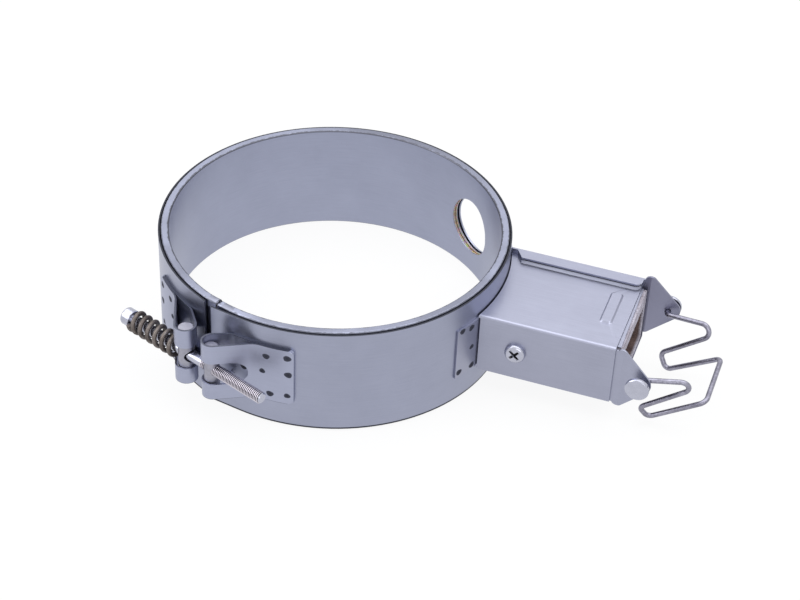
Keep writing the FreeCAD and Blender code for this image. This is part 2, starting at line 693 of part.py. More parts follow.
def box_base():
    """Channel of the plug box, welded to the band by a tab on each side."""
    start_x = OUT_R * 0.8
    near_top = BOX_TOP - COVER_BEND - COVER_FIT
    near = wall_with_ear(-1, BASE_HALF_W, near_top, start_x, NEAR_EAR_FOOT, NEAR_EAR_TOP)
    far = wall_with_ear(1, BOX_HALF_W, FAR_TOP, start_x, FAR_EAR_FOOT, FAR_EAR_TOP)
    floor = box(start_x, BASE_END, -BASE_HALF_W, BOX_HALF_W, BOX_BOTTOM, BOX_BOTTOM + BOX_T)
    lip_in = BOX_HALF_W - LIP_W
    lip = rounded_face([
        V(LIP_START, BOX_HALF_W, FAR_TOP - BOX_T),
        V(LIP_START, BOX_HALF_W - 1, FAR_TOP - BOX_T),
        V(LIP_START + LIP_SLANT, lip_in, FAR_TOP - BOX_T),
        V(BOX_END, lip_in, FAR_TOP - BOX_T),
        V(BOX_END, BOX_HALF_W, FAR_TOP - BOX_T),
    ], [0, 0, 0, LIP_CORNER, 0]).extrude(V(0, 0, BOX_T))
    channel = near.fuse([far, floor, lip])
    channel = channel.cut(cylinder(OUT_R + WELD_SEAT, 99, V(0, 0, -9), V(0, 0, 1)))
    tabs = []
    for side, half_w, top in ((-1, BASE_HALF_W, near_top), (1, BOX_HALF_W, BOX_TOP)):
        inner_az = math.degrees(math.asin((half_w - BOX_T) / OUT_R))
        r0 = OUT_R + WELD_SEAT
        tab = sector(r0, r0 + BOX_T, TAB_BOTTOM, top, min(side * inner_az, side * TAB_AZ),
                     max(side * inner_az, side * TAB_AZ))
        tabs.append(tab)
    channel = channel.fuse(tabs).removeSplitter()
    channel = channel.cut(cylinder(COVER_SCREW_D / 2 + 0.1, 4, V(COVER_SCREW_X, -BASE_HALF_W - 1, COVER_SCREW_Z),
                                   V(0, 1, 0)))
    return channel


def box_cover():
    """Folded cover: top and near side, with a pressed mark near the plug end."""
    mid = BOX_T / 2
    fold = COVER_BEND - mid
    y0 = -BOX_HALF_W + mid
    z1 = BOX_TOP - mid
    low = BOX_BOTTOM + COVER_FIT
    far_y = BOX_HALF_W - BOX_T - COVER_FIT
    corner = V(y0 + fold, z1 - fold, 0)
    path = [
        (V(y0, low, 0), V(y0, z1 - fold, 0), None, True),
        (V(y0, z1 - fold, 0), V(y0 + fold, z1, 0), corner, False),
        (V(y0 + fold, z1, 0), V(far_y, z1, 0), None, True),
    ]
    start_x = OUT_R * 0.8
    section = to_yz(strip_face(path, BOX_T))
    section.translate(V(start_x, 0, 0))
    sheet = section.extrude(V(BOX_END - start_x, 0, 0))
    sheet = sheet.cut(cylinder(OUT_R + COVER_END_GAP, 99, V(0, 0, -9), V(0, 0, 1)))
    sheet = sheet.cut(box(start_x, COVER_SIDE_START, -BOX_HALF_W - 1, -BOX_HALF_W + BOX_T, 0, BOX_TOP - COVER_BEND))
    pad = rounded_pad(EMBOSS_L, EMBOSS_W, EMBOSS_H)
    pad.translate(V(EMBOSS_X, EMBOSS_Y, BOX_TOP))
    dent = rounded_pad(EMBOSS_L - 2 * BOX_T, EMBOSS_W - 2 * BOX_T, EMBOSS_H)
    dent.translate(V(EMBOSS_X, EMBOSS_Y, BOX_TOP - BOX_T))
    sheet = sheet.fuse(pad).cut(dent)
    hole = cylinder(COVER_SCREW_D / 2 + 0.2, 9, V(COVER_SCREW_X, -BOX_HALF_W - 1, COVER_SCREW_Z), V(0, 1, 0))
    return sheet.cut(hole.common(box(0, 200, -30, -BOX_HALF_W + BOX_T + 0.05, 0, 50)))


def rounded_pad(length, width, height):
    """Low pad with sloping sides, standing on z = 0."""
    def outline(l, w, z):
        points = [V(-w / 2, -l / 2, z), V(w / 2, -l / 2, z), V(w / 2, l / 2, z), V(-w / 2, l / 2, z)]
        return rounded_face(points, [min(1.0, w / 3)] * 4).OuterWire

    return Part.makeLoft([outline(length, width, -0.01), outline(length - height * 2, width - height * 2, height)], True, True)


def cover_screw():
    """Pan head screw with a cross recess, through the cover into the channel's wall."""
    face_y = -BOX_HALF_W - 0.02
    axis = V(0, 1, 0)
    centre = V(COVER_SCREW_X, face_y, COVER_SCREW_Z)
    head = cylinder(PAN_D / 2, PAN_H, centre - axis * PAN_H, axis)
    outer = [edge for edge in round_edges(head) if edge.CenterOfMass.y < face_y - PAN_H / 2]
    head = head.makeFillet(PAN_H * 0.7, outer)
    for turn_deg in (45, -45):
        slot = box(-PAN_D * 0.3, PAN_D * 0.3, -0.6, 0.6, 0, PAN_H)
        slot.rotate(V(0, 0, 0), V(0, 0, 1), turn_deg)
        slot.rotate(V(0, 0, 0), V(1, 0, 0), -90)
        slot.translate(centre - axis * (PAN_H + PAN_H * 0.4))
        head = head.cut(slot)
    shank = cylinder(COVER_SCREW_D / 2, COVER_SCREW_L, centre, axis)
    return head.fuse(shank)


def cover_nut():
    """Weld nut inside the channel's wall for the cover's screw."""
    y = -BASE_HALF_W + BOX_T
    base = V(COVER_SCREW_X, y, COVER_SCREW_Z)
    nut = hexagon(COVER_NUT_AF, COVER_NUT_H, base, V(0, 1, 0))
    return nut.cut(cylinder(COVER_SCREW_D / 2 + PIN_FIT, 20, base - V(0, 5, 0), V(0, 1, 0)))


# ---------------------------------------------------------------- socket, pins and leads
def shroud_front():
    return BASE_END - 0.3


def socket_shroud():
    """Ceramic block with a rectangular recess that takes the plug."""
    front = shroud_front()
    back = front - SHROUD_LEN
    y1 = BASE_HALF_W - BOX_T - SHROUD_SIDE
    z0 = BOX_BOTTOM + BOX_T + 0.05
    z1 = BOX_TOP - BOX_T - SHROUD_TOP_GAP
    block = box(back, front, -y1, y1, z0, z1)
    edges = [e for e in block.Edges if abs(e.BoundBox.XLength - SHROUD_LEN) < 0.01]
    block = block.makeFillet(1.2, edges)
    recess = box(front - SHROUD_DEPTH, front + 1, -y1 + SHROUD_WALL_Y, y1 - SHROUD_WALL_Y, z0 + SHROUD_FLOOR_Z,
                 z1 - SHROUD_ROOF_Z)
    edges = [e for e in recess.Edges if e.BoundBox.XLength > SHROUD_DEPTH / 2]
    recess = recess.makeFillet(2.0, edges)
    block = block.cut(recess)
    for side in (-1, 1):
        hole = cylinder(PIN_D / 2 + PIN_FIT, 60, V(back - 10, side * PIN_SPACING / 2, LEAD_Z), V(1, 0, 0))
        block = block.cut(hole)
    earth_z = z0 + SHROUD_FLOOR_Z
    slot = box(back - 1, front - SHROUD_DEPTH + 1, -EARTH_W / 2 - EARTH_FIT, EARTH_W / 2 + EARTH_FIT,
               earth_z - EARTH_FIT, earth_z + EARTH_T + 2 * EARTH_FIT)
    return block.cut(slot)


def plug_pin(side):
    """Round contact pin through the ceramic block, tapered at its free end."""
    front = shroud_front() - SHROUD_DEPTH + PIN_FREE
    back = shroud_front() - SHROUD_LEN - PIN_TAIL
    pin = cylinder(PIN_D / 2, front - back, V(back, side * PIN_SPACING / 2, LEAD_Z), V(1, 0, 0))
    tip = [edge for edge in round_edges(pin) if edge.CenterOfMass.x > front - 1]
    return pin.makeChamfer(PIN_EASE, tip)


def pin_nuts():
    """Nuts that hold the pins and leads behind the block."""
    nuts = []
    x = shroud_front() - SHROUD_LEN - PIN_NUT_H - 0.1
    for side in (-1, 1):
        base = V(x, side * PIN_SPACING / 2, LEAD_Z)
        nut = hexagon(PIN_NUT_AF, PIN_NUT_H, base, V(1, 0, 0))
        nuts.append(nut.cut(cylinder(PIN_D / 2 + PIN_FIT, PIN_NUT_H * 3, base - V(PIN_NUT_H, 0, 0), V(1, 0, 0))))
    return Part.makeCompound(nuts)


def earth_contact():
    """Earth strip: along the recess's floor, through the block and down to the channel's floor."""
    back = shroud_front() - SHROUD_LEN
    z = BOX_BOTTOM + BOX_T + 0.05 + SHROUD_FLOOR_Z + EARTH_FIT / 2
    tongue = box(back - 6, shroud_front() - 3, -EARTH_W / 2, EARTH_W / 2, z, z + EARTH_T)
    leg = box(back - 6, back - 6 + EARTH_T, -EARTH_W / 2, EARTH_W / 2, BOX_BOTTOM + BOX_T + 0.02, z + EARTH_T)
    foot = box(back - 14, back - 6 + EARTH_T, -EARTH_W / 2, EARTH_W / 2, BOX_BOTTOM + BOX_T + 0.02,
               BOX_BOTTOM + BOX_T + 0.02 + EARTH_T)
    return tongue.fuse([leg, foot]).removeSplitter()


def lead(side):
    """Stiff lead from the ribbon's end pad to the pin."""
    y = side * PIN_SPACING / 2
    start = math.sqrt((RIBBON_R + RIBBON_T) ** 2 - (PIN_SPACING / 2 - LEAD_D / 2) ** 2) + 0.05
    end = shroud_front() - SHROUD_LEN - PIN_TAIL
    return cylinder(LEAD_D / 2, end - start, V(start, y, LEAD_Z), V(1, 0, 0))


def lead_bushes():
    """Ceramic bushes that carry the leads through the wall."""
    bushes = []
    for side in (-1, 1):
        y = side * PIN_SPACING / 2
        start = math.sqrt((RIBBON_R + RIBBON_T) ** 2 - (PIN_SPACING / 2 - BUSH_D / 2) ** 2) + 0.05
        bush = cylinder(BUSH_D / 2, OUT_R + BUSH_L - start, V(start, y, LEAD_Z), V(1, 0, 0))
        bushes.append(bush.cut(cylinder(LEAD_D / 2 + 0.1, 40, V(start - 5, y, LEAD_Z), V(1, 0, 0))))
    return Part.makeCompound(bushes)


# ---------------------------------------------------------------- bail
def arm_point(out, up):
    """Point in the plane of a zigzag arm, which toes in and leans."""
    toe = math.radians(ARM_TOE)
    lean = math.radians(ARM_LEAN)
    x = BAIL_X + out * math.cos(toe) + up * math.sin(lean) * math.sin(toe)
    y = ARM_Y - out * math.sin(toe) + up * math.sin(lean) * math.cos(toe)
    return V(x, y, BAIL_Z + up * math.cos(lean))


def bail_wire():
    """Sprung wire bail: an end in each ear, a zigzag arm each side and a straight bar across."""
    half = [V(BAIL_X, WIRE_END_Y, BAIL_Z), V(BAIL_X, WIRE_TURN_Y, BAIL_Z)]
    radii = [WIRE_TURN_R]
    for out, up, radius in ARM_BENDS:
        half.append(arm_point(out, up))
        radii.append(radius)
    route = half + [V(p.x, -p.y, p.z) for p in reversed(half)]
    return along_wire(route, radii + radii[::-1], WIRE_D)


def bail_button(side):
    """Flat button pressed on the wire's end outside the ear."""
    y = side * BUTTON_Y
    axis = V(0, side, 0)
    button = cylinder(BUTTON_D / 2, BUTTON_T, V(BAIL_X, y, BAIL_Z), axis)
    button = button.makeChamfer(BUTTON_EASE, [e for e in round_edges(button) if abs(e.CenterOfMass.y) > BUTTON_Y + 0.5])
    socket = cylinder(WIRE_D / 2 + BUTTON_FIT, WIRE_END_Y - BUTTON_Y + BUTTON_FIT + 1, V(BAIL_X, y - side, BAIL_Z), axis)
    return button.cut(socket)


def main():
    os.makedirs("parts", exist_ok=True)
    save("inner_sheath", inner_sheath())
    save("mica_core", mica_core())
    save("heating_element", heating_element())
    save("outer_mica", outer_mica())
    save("backing_sheet", backing_sheet())
    save("clamp_band", clamp_band())
    save("spring_side_strap", strap(BARREL_L_T, BARREL_L_D, -1))
    save("nut_side_strap", strap(BARREL_R_T, BARREL_R_D, 1))
    save("spring_side_barrel", barrel(BARREL_L_T, BARREL_L_D, BARREL_L_LEN, CROSS_HOLE_D / 2))
    save("threaded_barrel", barrel(BARREL_R_T, BARREL_R_D, BARREL_R_LEN, SCREW_D / 2 + THREAD_FIT))
    save("clamp_screw", clamp_screw())
    save("clamp_spring", clamp_spring())
    save("box_base", box_base())
    save("box_cover", box_cover())
    save("cover_screw", cover_screw())
    save("cover_nut", cover_nut())
    save("socket_block", socket_shroud())
    save("near_pin", plug_pin(-1))
    save("far_pin", plug_pin(1))
    save("pin_nuts", pin_nuts())
    save("earth_contact", earth_contact())
    save("near_lead", lead(-1))
    save("far_lead", lead(1))
    save("lead_bushes", lead_bushes())
    save("bail_wire", bail_wire())
    save("near_button", bail_button(-1))
    save("far_button", bail_button(1))


main()
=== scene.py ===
"""Looks of the band heater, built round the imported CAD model. Row frame, metres."""
import json
import math

import bmesh
import bpy
from mathutils import Matrix, Vector


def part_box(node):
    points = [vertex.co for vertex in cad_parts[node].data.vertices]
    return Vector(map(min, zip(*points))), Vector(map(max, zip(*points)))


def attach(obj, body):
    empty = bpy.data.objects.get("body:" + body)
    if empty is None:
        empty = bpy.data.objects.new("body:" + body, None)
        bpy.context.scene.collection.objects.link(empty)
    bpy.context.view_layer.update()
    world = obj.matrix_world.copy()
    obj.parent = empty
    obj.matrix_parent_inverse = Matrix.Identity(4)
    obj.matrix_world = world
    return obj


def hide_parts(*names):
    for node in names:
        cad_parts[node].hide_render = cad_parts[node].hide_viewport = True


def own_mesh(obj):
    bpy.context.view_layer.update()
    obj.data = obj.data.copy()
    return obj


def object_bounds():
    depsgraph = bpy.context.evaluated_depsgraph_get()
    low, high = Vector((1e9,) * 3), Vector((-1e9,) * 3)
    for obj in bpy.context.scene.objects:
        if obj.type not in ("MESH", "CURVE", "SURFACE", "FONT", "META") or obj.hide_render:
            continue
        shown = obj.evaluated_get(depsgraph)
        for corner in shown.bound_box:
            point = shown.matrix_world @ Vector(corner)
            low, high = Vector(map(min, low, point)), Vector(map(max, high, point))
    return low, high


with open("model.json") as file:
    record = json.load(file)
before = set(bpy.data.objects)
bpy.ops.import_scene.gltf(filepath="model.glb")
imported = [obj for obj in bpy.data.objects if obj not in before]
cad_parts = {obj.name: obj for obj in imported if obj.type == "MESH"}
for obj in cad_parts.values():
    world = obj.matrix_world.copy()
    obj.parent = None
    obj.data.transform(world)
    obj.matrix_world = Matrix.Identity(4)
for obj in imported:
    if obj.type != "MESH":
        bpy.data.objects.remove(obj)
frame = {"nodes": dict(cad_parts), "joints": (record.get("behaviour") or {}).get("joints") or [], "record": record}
cad_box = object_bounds()

MM = 0.001
NODES = frame["nodes"]
JOINTS = {joint["name"]: joint for joint in frame["joints"]}
UP = Vector((0, 0, 1))

# ---------------------------------------------------------------- places read from the frame
SCREW_MID = Vector(JOINTS["screw_turn"]["pos_m"])
SCREW_DIR = Vector(JOINTS["screw_turn"]["axis"]).normalized()
CLAMP_OUT = Vector((SCREW_MID.x, SCREW_MID.y, 0)).normalized()
CLAMP_AZ = math.degrees(math.atan2(CLAMP_OUT.y, CLAMP_OUT.x))
BAND_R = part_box("clamp_band")[1].x
BORE_R = frame["record"]["mounts"][0]["dims"]["r_mm"] * MM
BAND_LOW, BAND_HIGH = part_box("clamp_band")
STRAP_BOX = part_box("nut_side_strap")
SOCKET_LOW, SOCKET_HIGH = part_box("socket_block")
SOCKET_FRONT = SOCKET_HIGH.x
COVER_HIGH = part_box("box_cover")[1]
RIM_LOW, RIM_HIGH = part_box("inner_sheath")


def along_screw(node, pick):
    """Nearest or farthest reach of a CAD node along the screw, from the clamp's middle."""
    return pick((vertex.co - SCREW_MID).dot(SCREW_DIR) for vertex in NODES[node].data.vertices)


# ---------------------------------------------------------------- sizes
# clamp screw and spring; THREAD_START is measured along the screw from the clamp's middle.
# Known fault: after SCREW_TRAVEL this thread has left the threaded barrel, with the shank inside it.
HEAD_R = 3.8 * MM
HEAD_L = 4.4 * MM
HEAD_EDGE = 0.55 * MM
HEX_R = 4.0 / math.sqrt(3) * MM
HEX_DEPTH = 2.6 * MM
HEX_EDGE = 0.25 * MM
HEX_CONE = 0.5 * MM
HEX_CONE_R = 0.3 * MM
KNURL_DEPTH = 0.03 * MM
KNURL_COUNT = 48
SHANK_R = 2.35 * MM
THREAD_R = 2.5 * MM
THREAD_DEPTH = 0.46 * MM
THREAD_PITCH = 0.8 * MM
THREAD_START = 3.2 * MM
RUN_OUT = 1.0 * MM
TIP_EDGE = 0.6 * MM
HEAD_OVERLAP = 0.05 * MM
WIRE_R = 1.0 * MM
COIL_R = 4.0 * MM
DEAD_TURNS = 0.75
OPEN_TURNS = 5.25
CLOSED_PITCH_SHARE = 2.04

# sheet metal and welds; a strap's sheet counts with the narrow gap below it
STRAP_SHEET = 0.82 * MM
SPOT_R = 1.5 * MM
SPOT_RISE = 0.06 * MM
SPOT_WIDE = 1.08
SPOT_HIGH = 0.94
WELD_MERGE = 0.002 * MM
BEVEL = 0.16 * MM
BEVEL_ANGLE = 38
NOT_BEVELLED = ("clamp_screw", "clamp_spring", "socket_block")
EDGE_BLEND = 0.05 * MM
EDGE_DEPTH = 0.14 * MM

# rolled ends of the sheath's rim at the split; CURL_DEGREES, CURL_SLANT and SPLIT_FROM_CLAMP are degrees
RIM_OUT = RIM_HIGH.x
CURL_MID = (BORE_R + RIM_OUT) / 2 + 0.25 * MM
CURL_DEGREES = 4.2
CURL_SLANT = 0.35
SPLIT_FROM_CLAMP = 1.5

# plug box: pan head of the cover's screw, strip under the lip, strip above the ceramic
PAN_R = 4.1 * MM
PAN_H = 2.2 * MM
PAN_EDGE = 0.30
PAN_TURN = 33
CROSS_ARM = 0.70 * MM
CROSS_REACH = 2.45 * MM
CROSS_DEPTH = 1.3 * MM
LIP_WIDTH = 5.5 * MM
LIP_CORNER = 3.0 * MM
LIP_SLANT_DEPTH = 4.2 * MM
LIP_SLANT_SLOPE = 1.5
FAR_WALL_PAST_COVER = 0.9 * MM
PACKING_TOP = 0.2 * MM
PACKING_FOOT = 0.7 * MM
FRAME_RISE = 0.55 * MM
FRAME_WIDE = 1.55 * MM
FRAME_TAPER = 0.85 * MM
FRAME_WAVE = 0.05 * MM
FRAME_EDGE = 0.12 * MM


# ---------------------------------------------------------------- node materials
class Shader:
    """Small helper that builds a node tree line by line.

    node() takes set_NAME for a node's own setting, inN for its socket number N, and a socket's name
    otherwise; each value is either a number or colour, or another node's output.
    """

    def __init__(self, name):
        self.material = bpy.data.materials.new(name)
        self.material.use_nodes = True
        self.tree = self.material.node_tree
        self.bsdf = self.tree.nodes["Principled BSDF"]

    def node(self, kind, **inputs):
        made = self.tree.nodes.new(kind)
        for key, value in inputs.items():
            if key.startswith("set_"):
                setattr(made, key[4:], value)
                continue
            if key.startswith("in"):
                socket = made.inputs[int(key[2:])]
            else:
                socket = made.inputs[key.replace("_", " ")]
            self.feed(socket, value)
        return made

    def feed(self, socket, value):
        if isinstance(value, bpy.types.NodeSocket):
            self.tree.links.new(value, socket)
        else:
            socket.default_value = value

    def math(self, operation, a, b=0.0, c=0.0):
        return self.node("ShaderNodeMath", set_operation=operation, in0=a, in1=b, in2=c).outputs[0]

    def ramp(self, value, low, high, out_low=0.0, out_high=1.0):
        made = self.node("ShaderNodeMapRange", in0=value, in1=low, in2=high, in3=out_low, in4=out_high)
        return made.outputs[0]

    def mix(self, factor, a, b):
        made = self.node("ShaderNodeMix", set_data_type="RGBA")
        self.feed(made.inputs["Factor"], factor)
        self.feed(made.inputs[6], a)
        self.feed(made.inputs[7], b)
        return made.outputs[2]

    def noise(self, vector, scale, detail=3.0, rough=0.55):
        made = self.node("ShaderNodeTexNoise", Vector=vector, Scale=scale, Detail=detail, Roughness=rough)
        return made.outputs[0]

    def place(self):
        """Object coordinates: they stay with the piece when it moves."""
        return self.node("ShaderNodeTexCoord").outputs["Object"]

    def unrolled(self, vector):
        """Coordinates of a round wall laid out flat: x along the wall and z up."""
        turned = self.node("ShaderNodeVectorRotate", set_rotation_type="Z_AXIS", Vector=vector,
                           Angle=math.radians(180 - CLAMP_AZ)).outputs[0]
        parts = self.node("ShaderNodeSeparateXYZ", Vector=turned)
        angle = self.math("ARCTAN2", parts.outputs[1], parts.outputs[0])
        return self.node("ShaderNodeCombineXYZ", X=self.math("MULTIPLY", angle, BAND_R), Y=0.0,
                         Z=parts.outputs[2]).outputs[0]

    def stretched(self, vector, x, y, z):
        return self.node("ShaderNodeMapping", Vector=vector, Scale=(x, y, z)).outputs[0]

    def bump(self, height, strength, distance):
        made = self.node("ShaderNodeBump", Height=height, Strength=strength, Distance=distance)
        self.tree.links.new(made.outputs[0], self.bsdf.inputs["Normal"])


def dimmed(colour, share):
    return tuple(c * share for c in colour[:3]) + (1.0,)


def rim_shade_and_dirt(s, place):
    """Mask on top of the sheath's rim: a thin outer line of painted shade along its outline, a ragged inner line
    of dirt and dull patches.
    """
    parts = s.node("ShaderNodeSeparateXYZ", Vector=place)
    level = s.node("ShaderNodeCombineXYZ", X=parts.outputs[0], Y=parts.outputs[1], Z=0.0).outputs[0]
    reach = s.node("ShaderNodeVectorMath", set_operation="LENGTH", Vector=level).outputs["Value"]
    ragged = s.math("MULTIPLY_ADD", s.noise(place, 420.0, 4.0, 0.65), 1.9 * MM, reach)
    # painted shade: a thin dark line along the rim's outer edge
    outside = s.ramp(ragged, RIM_OUT + 0.45 * MM, RIM_OUT + 0.75 * MM, 0.0, 0.7)
    inside = s.ramp(ragged, BORE_R + 1.35 * MM, BORE_R + 1.8 * MM, 0.85, 0.0)
    high = s.ramp(parts.outputs[2], RIM_HIGH.z - 0.75 * MM, RIM_HIGH.z - 0.35 * MM)
    patches = s.ramp(s.noise(place, 14.0, 3.0, 0.6), 0.42, 0.58, 0.05, 0.45)
    lines = s.math("MAXIMUM", outside, inside)
    return s.math("MULTIPLY", s.math("MAXIMUM", lines, patches), high)


def far_ear_painted_shade(s, place):
    """Mask of painted shade on the far ear: what lies beyond the cover's end on the far side."""
    parts = s.node("ShaderNodeSeparateXYZ", Vector=place)
    beyond = s.ramp(parts.outputs[0], COVER_HIGH.x + 0.8 * MM, COVER_HIGH.x + 1.6 * MM)
    far = s.math("GREATER_THAN", parts.outputs[1], 0.0)
    return s.math("MULTIPLY", s.math("MULTIPLY", beyond, far), 0.7)


def sheet_steel(name, colour, shade, roughness, grain, round_wall=False, dirt=0.3, edges=(), marks=()):
    """Satin rolled sheet: cloudy tone, fine rolling grain, dull patches, darker sheared edges and painted shade
    along the foot.

    edges lists (height, 1 or -1, tone): beyond that height, upwards or downwards, the sheet is darker: a sheared
    edge, or painted shade along the sheet's foot.
    marks lists (function that builds a mask, colour): the colour lies on the sheet where the mask is 1.
    """
    s = Shader(name)
    place = s.place()
    flat = s.unrolled(place) if round_wall else place
    clouds = s.noise(place, 45.0, 4.0, 0.6)
    grain_cells = s.noise(s.stretched(flat, *grain), 1.0, 4.0, 0.65)
    specks = s.noise(place, 2600.0, 2.0, 0.5)
    tone = s.math("MULTIPLY_ADD", grain_cells, 0.55, s.math("MULTIPLY", clouds, 0.45))
    base = s.mix(s.ramp(tone, 0.32, 0.68), shade, colour)
    dull = s.ramp(s.noise(place, 16.0, 5.0, 0.62), 0.52, 0.72, 0.0, dirt)
    dusty = s.mix(dull, base, dimmed(colour, 0.86))
    pits = s.ramp(specks, 0.70, 0.78, 0.0, 0.5)
    surface = s.mix(pits, dusty, dimmed(shade, 0.55))
    height = s.node("ShaderNodeSeparateXYZ", Vector=place).outputs[2]
    # darker bands: sheared edges, and painted shade along the foot
    for level, way, dark in edges:
        beyond = s.math("MULTIPLY", s.math("SUBTRACT", height, level), way)
        surface = s.mix(s.ramp(beyond, 0.0, EDGE_BLEND), surface, dimmed(shade, dark))
    for mask, mark in marks:
        surface = s.mix(mask(s, place), surface, mark)
    s.feed(s.bsdf.inputs["Base Color"], surface)
    s.bsdf.inputs["Metallic"].default_value = 1.0
    rough = s.math("MULTIPLY_ADD", s.math("ADD", grain_cells, dull), 0.16, roughness - 0.08)
    s.feed(s.bsdf.inputs["Roughness"], rough)
    s.bump(s.math("MULTIPLY_ADD", specks, 0.35, grain_cells), 0.22, 0.00004)
    return s.material


def turned_steel(name, colour, shade, roughness, scale=900.0, strength=0.25, metallic=1.0):
    """Plain machined or plated steel: fine mottle, small stains and a light surface texture."""
    s = Shader(name)
    place = s.place()
    mottle = s.noise(place, scale, 4.0, 0.6)
    stains = s.noise(place, scale * 0.22, 3.0, 0.6)
    tone = s.math("MULTIPLY_ADD", mottle, 0.5, s.math("MULTIPLY", stains, 0.5))
    s.feed(s.bsdf.inputs["Base Color"], s.mix(s.ramp(tone, 0.38, 0.62), shade, colour))
    s.bsdf.inputs["Metallic"].default_value = metallic
    s.feed(s.bsdf.inputs["Roughness"], s.math("MULTIPLY_ADD", stains, 0.22, roughness - 0.11))
    s.bump(mottle, strength, 0.00003)
    return s.material


def spring_wire():
    """Dark phosphated wire with brown patches and small rubbed spots."""
    s = Shader("spring_wire")
    place = s.place()
    drawn = s.noise(place, 700.0, 4.0, 0.65)
    patches = s.noise(place, 160.0, 3.0, 0.6)
    brown = s.mix(s.ramp(patches, 0.38, 0.62), (0.080, 0.064, 0.058, 1), (0.165, 0.142, 0.132, 1))
    rubbed = s.ramp(drawn, 0.55, 0.75, 0, 0.6)
    s.feed(s.bsdf.inputs["Base Color"], s.mix(rubbed, brown, (0.30, 0.285, 0.28, 1)))
    s.bsdf.inputs["Metallic"].default_value = 0.7
    s.feed(s.bsdf.inputs["Roughness"], s.math("MULTIPLY_ADD", drawn, 0.2, 0.36))
    s.bump(drawn, 0.3, 0.00005)
    return s.material


def ceramic():
    """Unglazed ceramic: coarse grain and pores, grey outside, dark brown inside the plug's recess: the insert's
    brown with painted shade.
    """
    s = Shader("ceramic")
    place = s.place()
    grain = s.noise(place, 1500.0, 3.0, 0.7)
    dust = s.noise(place, 200.0, 4.0, 0.6)
    pale = s.mix(s.ramp(dust, 0.38, 0.62), (0.33, 0.30, 0.345, 1), (0.50, 0.48, 0.55, 1))
    # inside the recess: brown of the insert darkened by painted shade
    inside = s.mix(s.ramp(dust, 0.35, 0.65), (0.085, 0.050, 0.045, 1), (0.20, 0.135, 0.12, 1))
    parts = s.node("ShaderNodeSeparateXYZ", Vector=place)
    depth = s.ramp(s.math("SUBTRACT", SOCKET_FRONT, parts.outputs[0]), 0.25 * MM, 0.9 * MM)
    middle = (SOCKET_LOW + SOCKET_HIGH) / 2
    half = (SOCKET_HIGH - SOCKET_LOW) / 2
    for axis, coordinate in ((1, parts.outputs[1]), (2, parts.outputs[2])):
        away = s.math("ABSOLUTE", s.math("SUBTRACT", coordinate, middle[axis]))
        within = s.ramp(away, half[axis] - 1.6 * MM, half[axis] - 0.9 * MM, 1.0, 0.0)
        depth = s.math("MULTIPLY", depth, within)
    body = s.mix(depth, pale, inside)
    pores = s.ramp(grain, 0.54, 0.68, 0, 0.85)
    s.feed(s.bsdf.inputs["Base Color"], s.mix(pores, body, (0.075, 0.06, 0.065, 1)))
    s.feed(s.bsdf.inputs["Roughness"], s.ramp(grain, 0.3, 0.7, 0.62, 0.9))
    s.bump(grain, 0.7, 0.0002)
    return s.material


def mica():
    """Pressed mica sheet: brown flakes in layers with a soft shine."""
    s = Shader("mica")
    place = s.place()
    flakes = s.node("ShaderNodeTexVoronoi", Vector=s.stretched(place, 1, 1, 3.0), Scale=700.0)
    cloud = s.noise(place, 240.0, 3.0, 0.6)
    tone = s.mix(s.ramp(cloud, 0.35, 0.65), (0.30, 0.17, 0.10, 1), (0.52, 0.36, 0.25, 1))
    s.feed(s.bsdf.inputs["Base Color"], s.mix(0.25, tone, flakes.outputs["Color"]))
    s.feed(s.bsdf.inputs["Roughness"], s.ramp(cloud, 0.3, 0.7, 0.35, 0.6))
    s.bump(flakes.outputs["Distance"], 0.3, 0.00008)
    return s.material


def weld_spot():
    """Resistance weld: a dark middle, a scorched ring and a slightly paler bluish edge."""
    s = Shader("weld_spot")
    uv = s.node("ShaderNodeUVMap", set_uv_map="spot").outputs[0]
    wobble = s.noise(s.place(), 900.0, 2.0, 0.5)
    reach = s.node("ShaderNodeVectorMath", set_operation="LENGTH", Vector=uv).outputs["Value"]
    reach = s.math("MULTIPLY_ADD", wobble, 0.5, s.math("SUBTRACT", reach, 0.25))
    edge = s.mix(s.ramp(reach, 0.80, 1.0), (0.036, 0.038, 0.054, 1), (0.13, 0.138, 0.185, 1))
    s.feed(s.bsdf.inputs["Base Color"], s.mix(s.ramp(reach, 0.10, 0.5), (0.020, 0.021, 0.030, 1), edge))
    s.bsdf.inputs["Metallic"].default_value = 0.1
    s.bsdf.inputs["Specular IOR Level"].default_value = 0.15
    s.feed(s.bsdf.inputs["Roughness"], s.ramp(wobble, 0.3, 0.7, 0.6, 0.8))
    s.bump(wobble, 0.5, 0.0001)
    return s.material


def recessed(name, colour, dark, cross_r):
    """Plated screw head with painted shade in the cross recess, placed by the head's own face coordinates."""
    s = Shader(name)
    face = s.node("ShaderNodeUVMap", set_uv_map="face").outputs[0]
    parts = s.node("ShaderNodeSeparateXYZ", Vector=face)
    arms = s.math("MINIMUM", s.math("ABSOLUTE", parts.outputs[0]), s.math("ABSOLUTE", parts.outputs[1]))
    reach = s.node("ShaderNodeVectorMath", set_operation="LENGTH", Vector=face).outputs["Value"]
    mottle = s.noise(s.place(), 900.0, 4.0, 0.6)
    in_arm = s.ramp(arms, 0.12, 0.20, 1.0, 0.0)
    in_reach = s.ramp(reach, cross_r, cross_r + 0.08, 1.0, 0.0)
    metal = s.mix(s.ramp(mottle, 0.36, 0.64), dimmed(colour, 0.7), colour)
    s.feed(s.bsdf.inputs["Base Color"], s.mix(s.math("MULTIPLY", in_arm, in_reach), metal, dark))
    s.bsdf.inputs["Metallic"].default_value = 1.0
    s.feed(s.bsdf.inputs["Roughness"], s.math("MULTIPLY_ADD", mottle, 0.2, 0.2))
    s.bump(mottle, 0.2, 0.00004)
    return s.material


